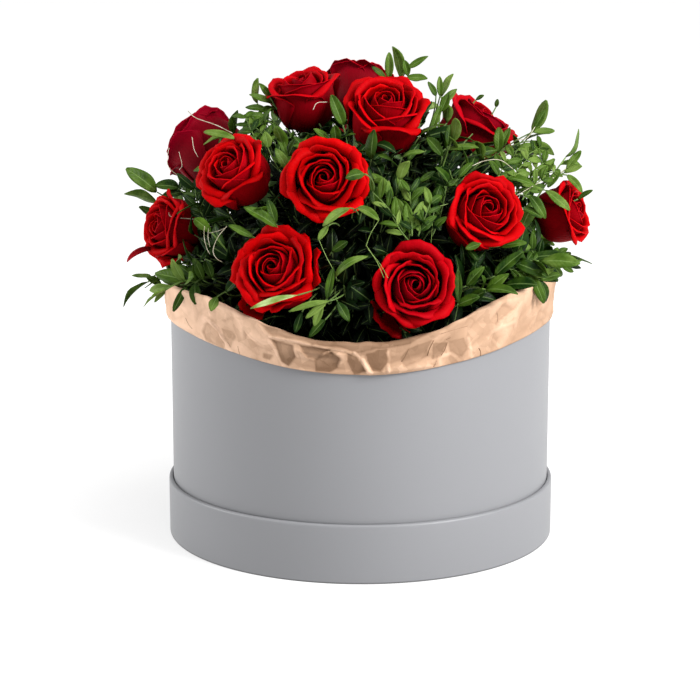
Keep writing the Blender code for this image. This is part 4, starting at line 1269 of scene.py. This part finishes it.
def make_filler(green, room):
    """Short leafy sprigs all over the dome, between and under the blooms, evenly spread by golden turns."""
    draw = np.random.default_rng(FILLER_SEED)
    heaps = [Heap() for _ in range(FILLER_PIECES)]
    for number in range(FILLER_SPRIGS):
        elevation = math.degrees(math.asin(FILLER_TOP * (number + 0.5) / FILLER_SPRIGS))
        for attempt in range(FILLER_TRIES):
            azimuth = GOLDEN_TURN * number + draw.uniform(-1, 1) * (4 + 3 * attempt)
            reach = draw.uniform(*FILLER_REACH) - FILLER_RETREAT * attempt
            reach += FILLER_ABOVE * smooth_step(elevation, 25, 50)
            reach += FILLER_ASIDE * smooth_step(abs(from_front(azimuth)), 40, 70)
            if in_hollow(azimuth, elevation):
                reach -= HOLLOW_DEPTH
            tip = from_dome(azimuth, elevation + draw.uniform(-3, 3), reach)
            path = filler_path(azimuth, tip, draw)
            points = along_path(path, 1 * MM)[0][8:]
            if not (room.meets_bloom(points) or room.meets_collar(points)):
                add_sprig(heaps[number % FILLER_PIECES], path, draw.uniform(0.1, 0.75), draw, room)
                break
    for k, heap in enumerate(heaps):
        piece = heap.piece(f"filler_foliage_{k + 1}", green)
        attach(piece, "root")


def in_hollow(azimuth, elevation):
    """Whether a way out from the dome's middle leads to the dark hollow between the two front blooms."""
    return HOLLOW[0] < from_front(azimuth) < HOLLOW[1] and elevation < HOLLOW[2]


def filler_path(azimuth, tip, draw):
    """A sprig's way from the foam up and out to its tip."""
    foot_xy = draw.uniform(0.05, 0.85) * LINER_RADIUS * direction(azimuth + draw.uniform(-25, 25), 0)[:2]
    start = np.array([*foot_xy, FOAM_TOP - 4 * MM])
    reach = np.linalg.norm(tip[:2])
    control = direction(azimuth, 0) * 0.6 * reach
    control[2] = max(tip[2] - 0.3 * reach, fold_height(azimuth) + 7 * MM)
    return np.vstack([start, curve_between(start, control, tip, 9)])


def add_sprig(heap, path, light, draw, room):
    """A thin stem with leaves along most of it, the lower ones longer."""
    heap.tube(path, np.linspace(0.9 * MM, 0.4 * MM, len(path)), 5, stem_paint(0.3, 0.2))
    points, ways = along_path(path, 1 * MM)
    for at in np.linspace(0.25, 1.0, FILLER_LEAVES):
        k = min(int(at * len(points)), len(points) - 1)
        add_small_leaf(heap, points[k], unit(ways[k]), light, (22 - 5 * at) * MM, draw, room, 6, 3)


# Leaves and threads that stand out in the photograph. A place is a pixel across and down, and how far
# it lies in front of the box's axis, in mm.
# Each leaf: the places of its root and tip, its width in mm, how much it arches and how light it is painted,
# partly as painted light and shade
SEEN_LEAVES = (
    (365, 174, 116, 345, 176, 118, 7.5, 0.3, 0.35), (343, 125, 52, 330, 95, 50, 7.5, 0.3, 0.45),
    (328, 139, 50, 313, 130, 56, 5, 0.5, 0.6), (336, 142, 52, 334, 125, 56, 7, 0.3, 0.55),
    (308, 147, 60, 306, 139, 62, 4, 0.3, 0.6), (277, 227, 92, 244, 206, 96, 7, 0.3, 0.55),
    (276, 224, 90, 267, 200, 90, 6, 0.3, 0.45), (253, 237, 90, 228, 226, 92, 5, 0.3, 0.5),
    (289, 171, 72, 274, 149, 72, 6, 0.3, 0.5), (290, 166, 70, 272, 158, 70, 5, 0.3, 0.45),
    (268, 148, 62, 266, 131, 62, 6, 0.3, 0.7), (288, 160, 60, 272, 122, 50, 4, 0.4, 0.5),
    (236, 139, 48, 203, 133, 46, 5, 0.6, 0.75), (157, 192, 0, 127, 166, 4, 11, 0.2, 0.25),
    (179, 188, 2, 155, 184, 4, 8, 0.4, 0.3), (184, 192, 4, 160, 197, 8, 6, 0.3, 0.2),
    (158, 217, 0, 138, 208, 2, 6, 0.3, 0.4), (270, 97, -4, 259, 83, -4, 4.5, 0.2, 0.35),
    (272, 103, -2, 249, 94, 2, 5, 0.2, 0.4), (270, 110, 0, 245, 107, 6, 5, 0.2, 0.4),
    (268, 117, 4, 241, 115, 10, 4.5, 0.2, 0.45), (268, 121, 8, 241, 125, 12, 5, 0.2, 0.45),
    (276, 108, -2, 258, 112, 4, 5, 0.2, 0.3), (545, 190, 32, 569, 212, 36, 6.5, 0.5, 0.45),
    (530, 196, 52, 547, 218, 56, 7, 0.4, 0.4), (523, 208, 54, 543, 217, 58, 5, 0.3, 0.4),
    (566, 169, 4, 582, 151, 2, 5, 0.2, 0.45), (564, 173, 4, 582, 165, 4, 5, 0.2, 0.5),
    (567, 175, 6, 583, 192, 8, 5, 0.4, 0.45), (578, 199, 4, 593, 190, 4, 3.5, 0.3, 0.35),
    (546, 172, 8, 553, 160, 8, 5, 0.2, 0.45), (560, 170, 8, 548, 188, 12, 5, 0.2, 0.5),
    (534, 129, -18, 546, 110, -20, 5, 0.2, 0.4), (533, 132, -16, 555, 131, -16, 5, 0.2, 0.45),
    (529, 141, -12, 554, 156, -10, 7, 0.3, 0.4), (519, 150, -8, 545, 154, -4, 5, 0.3, 0.35),
    (498, 153, 4, 500, 127, 2, 6.5, 0.3, 0.4), (500, 150, 2, 510, 127, 0, 5, 0.3, 0.45),
    (496, 162, 30, 518, 176, 34, 6, 0.4, 0.45), (476, 100, -60, 484, 95, -60, 3, 0.2, 0.4),
    (496, 107, -56, 498, 99, -56, 3, 0.2, 0.4), (389, 78, 0, 390, 52, 0, 5.5, 0.2, 0.35),
    (408, 76, -4, 404, 60, -4, 5, 0.2, 0.35), (406, 78, -2, 428, 78, 2, 6, 0.3, 0.4),
    (408, 68, -4, 429, 57, -2, 5, 0.3, 0.45), (386, 79, 6, 372, 66, 8, 4, 0.2, 0.3),
    (436, 96, 12, 429, 81, 12, 4, 0.2, 0.35), (440, 96, 10, 440, 76, 8, 4, 0.2, 0.35),
    (441, 112, 14, 450, 93, 12, 6, 0.2, 0.45), (441, 106, 14, 430, 134, 20, 4.5, 0.3, 0.4),
    (442, 156, 40, 428, 136, 40, 7, 0.3, 0.75), (448, 146, 36, 449, 124, 34, 5, 0.3, 0.4),
    (393, 197, 84, 373, 172, 82, 6, 0.5, 0.85), (375, 205, 86, 372, 181, 84, 6, 0.3, 0.7),
    (404, 217, 88, 394, 197, 86, 6, 0.4, 0.95), (410, 234, 92, 407, 203, 90, 6, 0.3, 0.9),
    (414, 227, 90, 422, 206, 88, 6.5, 0.3, 0.85), (396, 212, 88, 378, 205, 88, 4.5, 0.3, 0.8),
    (412, 200, 80, 424, 186, 76, 5, 0.5, 0.85), (405, 195, 80, 398, 176, 74, 5, 0.5, 0.9),
    (420, 182, 70, 436, 172, 66, 4, 0.5, 0.5), (430, 216, 84, 424, 192, 80, 3, 0.2, 0.9),
    (434, 228, 84, 446, 216, 84, 4.5, 0.3, 0.5), (350, 208, 108, 323, 227, 116, 5.5, 1.0, 0.75),
    (328, 226, 114, 319, 241, 118, 4, 0.4, 0.7), (358, 208, 106, 380, 220, 114, 5.5, 1.0, 0.7),
    (336, 277, 112, 369, 257, 116, 5, 1.9, 0.75), (327, 299, 114, 333, 267, 114, 4.5, 0.2, 0.6),
    (298, 295, 122, 250, 310, 126, 4, 0.5, 0.8), (330, 301, 118, 288, 312, 122, 4, 0.4, 0.8),
    (326, 303, 118, 305, 318, 122, 4, 0.3, 0.75), (323, 305, 118, 313, 326, 122, 5, 0.3, 0.7),
    (302, 312, 112, 295, 333, 114, 4.5, 0.3, 0.3), (325, 320, 112, 309, 338, 114, 5, 0.3, 0.35),
    (337, 301, 106, 349, 322, 108, 6, 0.3, 0.25), (332, 252, 92, 348, 242, 92, 6, 0.3, 0.2),
    (162, 285, 14, 146, 278, 14, 5.5, 0.3, 0.5), (166, 290, 20, 155, 303, 26, 3.5, 0.5, 0.45),
    (187, 286, 58, 173, 312, 66, 5, 0.4, 0.5), (195, 283, 66, 195, 305, 76, 7, 0.4, 0.45),
    (217, 297, 90, 210, 311, 96, 6, 0.4, 0.45), (180, 285, 40, 163, 280, 36, 5, 0.3, 0.5),
    (198, 282, 60, 178, 263, 52, 6, 0.3, 0.5), (203, 280, 64, 194, 258, 56, 6, 0.3, 0.45),
    (212, 278, 68, 206, 260, 62, 5.5, 0.3, 0.4), (190, 276, 52, 174, 270, 46, 5, 0.3, 0.55),
    (226, 292, 84, 240, 276, 84, 6, 0.3, 0.25), (495, 276, 84, 523, 250, 80, 7, 0.3, 0.35),
    (505, 285, 78, 538, 284, 84, 9, 0.4, 0.35), (512, 262, 66, 548, 276, 72, 9, 0.4, 0.3),
    (530, 258, 50, 568, 255, 50, 7, 0.4, 0.35), (552, 270, 38, 583, 260, 36, 3.5, 0.3, 0.4),
    (500, 246, 76, 527, 243, 78, 5.5, 0.3, 0.75), (458, 304, 100, 459, 268, 100, 4.5, 0.2, 0.6),
    (470, 300, 96, 485, 290, 100, 7, 0.3, 0.45), (456, 306, 98, 480, 296, 102, 7, 0.3, 0.4),
    (486, 292, 92, 508, 272, 92, 7, 0.3, 0.65), (466, 286, 96, 484, 266, 94, 6, 0.3, 0.4),
    (480, 244, 98, 466, 250, 100, 5, 0.3, 0.3),
)

# Leaves that stand out are at least as light as those at this share of the shade's depth
SEEN_LEAST = 0.7

# Each twig of narrow leaves: the places of its foot and tip, how many pairs of leaves, their length in mm and
# how light they are painted, partly as painted light and shade
SEEN_TWIGS = (
    (514, 196, 40, 544, 163, 14, 6, 10, 0.55), (508, 190, 42, 527, 160, 22, 5, 11, 0.6),
    (500, 184, 44, 517, 150, 6, 5, 11, 0.5), (522, 200, 40, 541, 180, 24, 4, 10, 0.45),
    (516, 190, 36, 553, 172, 10, 6, 8, 0.6), (498, 178, 40, 506, 163, 30, 3, 12, 0.75),
    (512, 170, 20, 540, 148, -8, 5, 10, 0.45), (408, 240, 96, 386, 196, 88, 5, 12, 0.9),
    (412, 236, 96, 410, 192, 84, 5, 12, 0.9), (404, 232, 94, 372, 192, 90, 5, 11, 0.85),
    (418, 236, 94, 430, 204, 88, 4, 10, 0.8), (432, 236, 84, 446, 186, 70, 6, 9, 0.4),
    (448, 192, 62, 437, 156, 30, 5, 12, 0.05), (458, 188, 58, 450, 156, 30, 5, 12, 0.1),
    (206, 222, 40, 195, 189, 28, 6, 14, 0.08), (202, 226, 24, 193, 190, 4, 6, 14, 0.08),
    (272, 176, 50, 261, 150, 24, 5, 13, 0.3), (238, 228, 60, 227, 209, 50, 3, 12, 0.1),
    (215, 228, 34, 180, 190, 10, 6, 11, 0.1), (222, 226, 40, 196, 198, 18, 5, 11, 0.1),
    (228, 224, 44, 208, 205, 24, 4, 11, 0.15), (212, 240, 40, 190, 214, 14, 5, 11, 0.05),
    (212, 262, 56, 192, 252, 34, 4, 11, 0.1), (205, 262, 50, 186, 246, 20, 4, 11, 0.1),
    (262, 150, 40, 246, 118, 12, 5, 10, 0.45), (268, 148, 40, 256, 128, 20, 4, 10, 0.5),
    (540, 262, 40, 524, 244, 50, 3, 11, 0.3), (520, 262, 60, 560, 262, 40, 6, 14, 0.4),
    (505, 268, 70, 540, 280, 70, 5, 15, 0.45),
)

# Each bare green stalk: its radius in mm and the places that it passes
SEEN_STALKS = (
    (0.168, (319, 240, 117), (326, 256, 118), (333, 269, 114)),
    (0.168, (379, 220, 113), (371, 233, 112), (366, 246, 114)),
    (0.168, (366, 245, 115), (377, 262, 122), (384, 278, 124)),
    (0.147, (368, 249, 115), (380, 264, 122), (388, 278, 124)),
    (0.189, (431, 243, 86), (433, 219, 84), (436, 208, 82), (448, 204, 80)),
)

# Circles of the photograph where no small leaf lies in front of a bloom: across, down and radius in
# pixels, and how far that bloom's front is behind the box's axis, in mm
CLEAR_CIRCLES = ((484, 116, 25, 24), (300, 98, 30, -5))

# Each thread: its radius in mm and the places that it passes
SEEN_THREADS = (
    (0.168, (205, 222, 78), (204, 236, 84), (207, 249, 86), (210, 254, 84)),
    (0.147, (209, 224, 76), (208, 237, 82), (210, 247, 82)),
    (0.168, (227, 226, 90), (218, 237, 92), (213, 250, 92), (216, 258, 90), (222, 262, 86)),
    (0.126, (209, 233, 84), (218, 231, 88), (227, 227, 88)),
    (0.21, (313, 110, 38), (317, 103, 36), (327, 102, 30)),
    (0.252, (188, 111, -4), (196, 118, 2), (216, 125, 12), (232, 133, 26)),
    (0.168, (169, 148, -8), (167, 160, -4), (171, 170, 0), (191, 184, 8), (196, 186, 8)),
    (0.189, (192, 137, 2), (194, 149, 6), (198, 157, 10)),
    (0.168, (179, 152, -2), (182, 165, 2), (179, 170, 2)),
    (0.294, (168, 211, 26), (172, 217, 30), (194, 219, 34)),
    (0.21, (472, 166, 46), (484, 161, 42), (500, 160, 38), (513, 169, 36)),
    (0.168, (516, 196, 50), (533, 186, 36), (547, 178, 16)),
    (0.21, (546, 182, 14), (558, 175, 8), (566, 168, 4)),
    (0.21, (517, 140, -10), (527, 138, -12), (535, 127, -18)),
)


def hides_bloom(points):
    """Whether any of the points is seen over a bloom that the photograph shows clear of leaves."""
    across, down = in_photo(points).T
    for x, y, radius, behind in CLEAR_CIRCLES:
        over = (across - x) ** 2 + (down - y) ** 2 < radius**2
        if np.any(over & (points[:, 1] < behind * MM)):
            return True
    return False


def arched_leaf(root, tip, width, arch):
    """A leaf between two points, bent by an angle of arch."""
    chord = tip - root
    up = unit(np.array([0, -0.9, 0.8]) - 0.3 * unit(chord))
    up = unit(up - (up @ unit(chord)) * unit(chord))
    along = math.cos(arch / 2) * unit(chord) + math.sin(arch / 2) * up
    length = np.linalg.norm(chord) * (arch / 2) / math.sin(arch / 2)
    return Leaf(root, along, up, length, width, arch)


def add_twig(heap, foot, tip, pairs, length, light, draw, room):
    """A thin bent twig with pairs of narrow leaves that spread to both sides as the camera sees it."""
    toward, way = -camera_ways()[0], unit(tip - foot)
    side = unit(np.cross(way, toward))
    bend = (foot + tip) / 2 + side * draw.uniform(-0.15, 0.15) * np.linalg.norm(tip - foot)
    path = np.vstack([foot, curve_between(foot, bend, tip, 14)])
    heap.tube(path, np.linspace(0.5 * MM, 0.3 * MM, len(path)), 5, stem_paint(0.5, 0.4))
    for k in np.linspace(2, len(path) - 1, pairs).astype(int):
        for hand in (-1, 1):
            along = way + hand * draw.uniform(0.5, 1.1) * side + draw.uniform(-0.3, 0.5) * toward
            size = length * draw.uniform(0.75, 1.2)
            up = toward + 0.4 * draw.uniform(-1, 1, 3)
            leaf = Leaf(path[k], along, up, size, size * draw.uniform(0.26, 0.4), draw.uniform(0.2, 0.9))
            if not room.meets_bloom(leaf.points(SMALL_LEAF_FREE)):
                add_leaf(heap, leaf, light * draw.uniform(0.2, 1.3), draw, 8, 5, SEEN_LEAST)


def add_seen_leaf(heap, root, tip, width, arch, light, draw):
    """A leaf between two points, on a thin stalk that bends into the foliage."""
    leaf = arched_leaf(root, tip, width, arch)
    add_leaf(heap, leaf, light, draw, 11, 7, SEEN_LEAST)
    inward = unit(DOME + (0, 0, 20 * MM) - root)
    bend = root - leaf.along * 6 * MM + inward * 6 * MM
    stalk = np.vstack([root, curve_between(root, bend, bend + inward * 16 * MM, 6)])
    heap.tube(stalk, 0.45 * MM, 5, stem_paint(0.4, 0.3))


def make_seen(green, straw, room):
    """Leaves, twigs, stalks and threads that stand out in the photograph."""
    draw = np.random.default_rng(SEEN_SEED)
    leaves, threads = Heap(), Heap()
    for *ends, width, arch, light in SEEN_LEAVES:
        add_seen_leaf(leaves, seen_at(ends[:3]), seen_at(ends[3:]), width * MM, arch, light, draw)
    for *ends, pairs, length, light in SEEN_TWIGS:
        add_twig(leaves, seen_at(ends[:3]), seen_at(ends[3:]), pairs, length * MM, light, draw, room)
    for heap, table in ((threads, SEEN_THREADS), (leaves, SEEN_STALKS)):
        for radius, *places in table:
            path = smooth_path(np.array([seen_at(place) for place in places]), 14)
            heap.tube(path, radius * MM, 6, stem_paint(0.9, 0.8))
    for heap, name, finish in ((leaves, "outer_leaves", green), (threads, "dry_threads", straw)):
        piece = heap.piece(name, finish)
        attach(piece, "root")


# Stage

def make_camera():
    """The camera, where the photograph was taken from."""
    data = bpy.data.cameras.new("camera")
    data.lens = CAMERA_LENS
    data.sensor_width = CAMERA_SENSOR
    camera = new_object("camera", data)
    camera.location = CAMERA_PLACE
    camera.rotation_euler = (math.radians(90 - CAMERA_DOWN), 0, math.radians(-CAMERA_RIGHT))
    bpy.context.scene.camera = camera


def make_floor():
    """A white floor that glows, a little less close to the box, where the lower glow paints a soft shadow
    round it.
    """
    mesh = bpy.data.meshes.new("floor")
    corners = [(-1, -1), (1, -1), (1, 1), (-1, 1)]
    mesh.from_pydata([(FLOOR_SIDE * x, FLOOR_SIDE * y, 0) for x, y in corners], [], [(0, 1, 2, 3)])
    made = Finish("floor_white", 0.9, 0.1)
    made.shader.inputs["Emission Color"].default_value = (1, 1, 1, 1)
    away = made.node("VectorMath", {"Vector": made.place()}, operation="LENGTH").outputs["Value"]
    glow_with_painted_shadow = made.between(away, (0.17, 0.5), (PAINTED_SHADOW_GLOW, FLOOR_GLOW))
    made.fill(made.shader.inputs["Emission Strength"], glow_with_painted_shadow)
    mesh.materials.append(made.coloured((FLOOR_SHADE,) * 3))
    new_object("floor", mesh)


def soft_light(name, place, size, power):
    """A round lamp that looks at the object."""
    data = bpy.data.lights.new(name, "AREA")
    data.shape = "DISK"
    data.size = size
    data.energy = power
    light = new_object(name, data)
    light.location = place
    light.rotation_euler = (Vector(LIGHT_AIM) - Vector(place)).to_track_quat("-Z", "Y").to_euler()


def make_lights():
    """A bright room, wide soft lights from the right and above, and one behind for the left edge."""
    world = bpy.data.worlds.new("studio")
    world.use_nodes = True
    background = world.node_tree.nodes["Background"]
    background.inputs["Color"].default_value = (1, 1, 1, 1)
    background.inputs["Strength"].default_value = ROOM_LIGHT
    bpy.context.scene.world = world
    for name, azimuth, distance, height, size, power in LIGHTS:
        soft_light(name, around(math.radians(azimuth), distance, height), size, power)


def dress():
    """Builds the stage and all pieces."""
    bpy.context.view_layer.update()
    bpy.context.scene.view_settings.view_transform = "Standard"
    make_camera()
    make_floor()
    make_lights()
    roses, sprays, room = arrangement()
    make_box(board_finish())
    make_collar(kraft_finish())
    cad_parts["foam"].data.materials[0] = foam_finish()
    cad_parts["waterproof_liner"].data.materials[0] = liner_finish()
    velvet = petal_finish()
    stem_green = stem_finish()
    leaf_green = leaf_finish()
    for rose in roses:
        make_bloom(rose, velvet)
        make_rose_stem(rose, stem_green)
    for spray in sprays:
        make_spray(spray, leaf_green, room)
    make_filler(leaf_green, room)
    make_seen(leaf_green, straw_finish(), room)


dress()
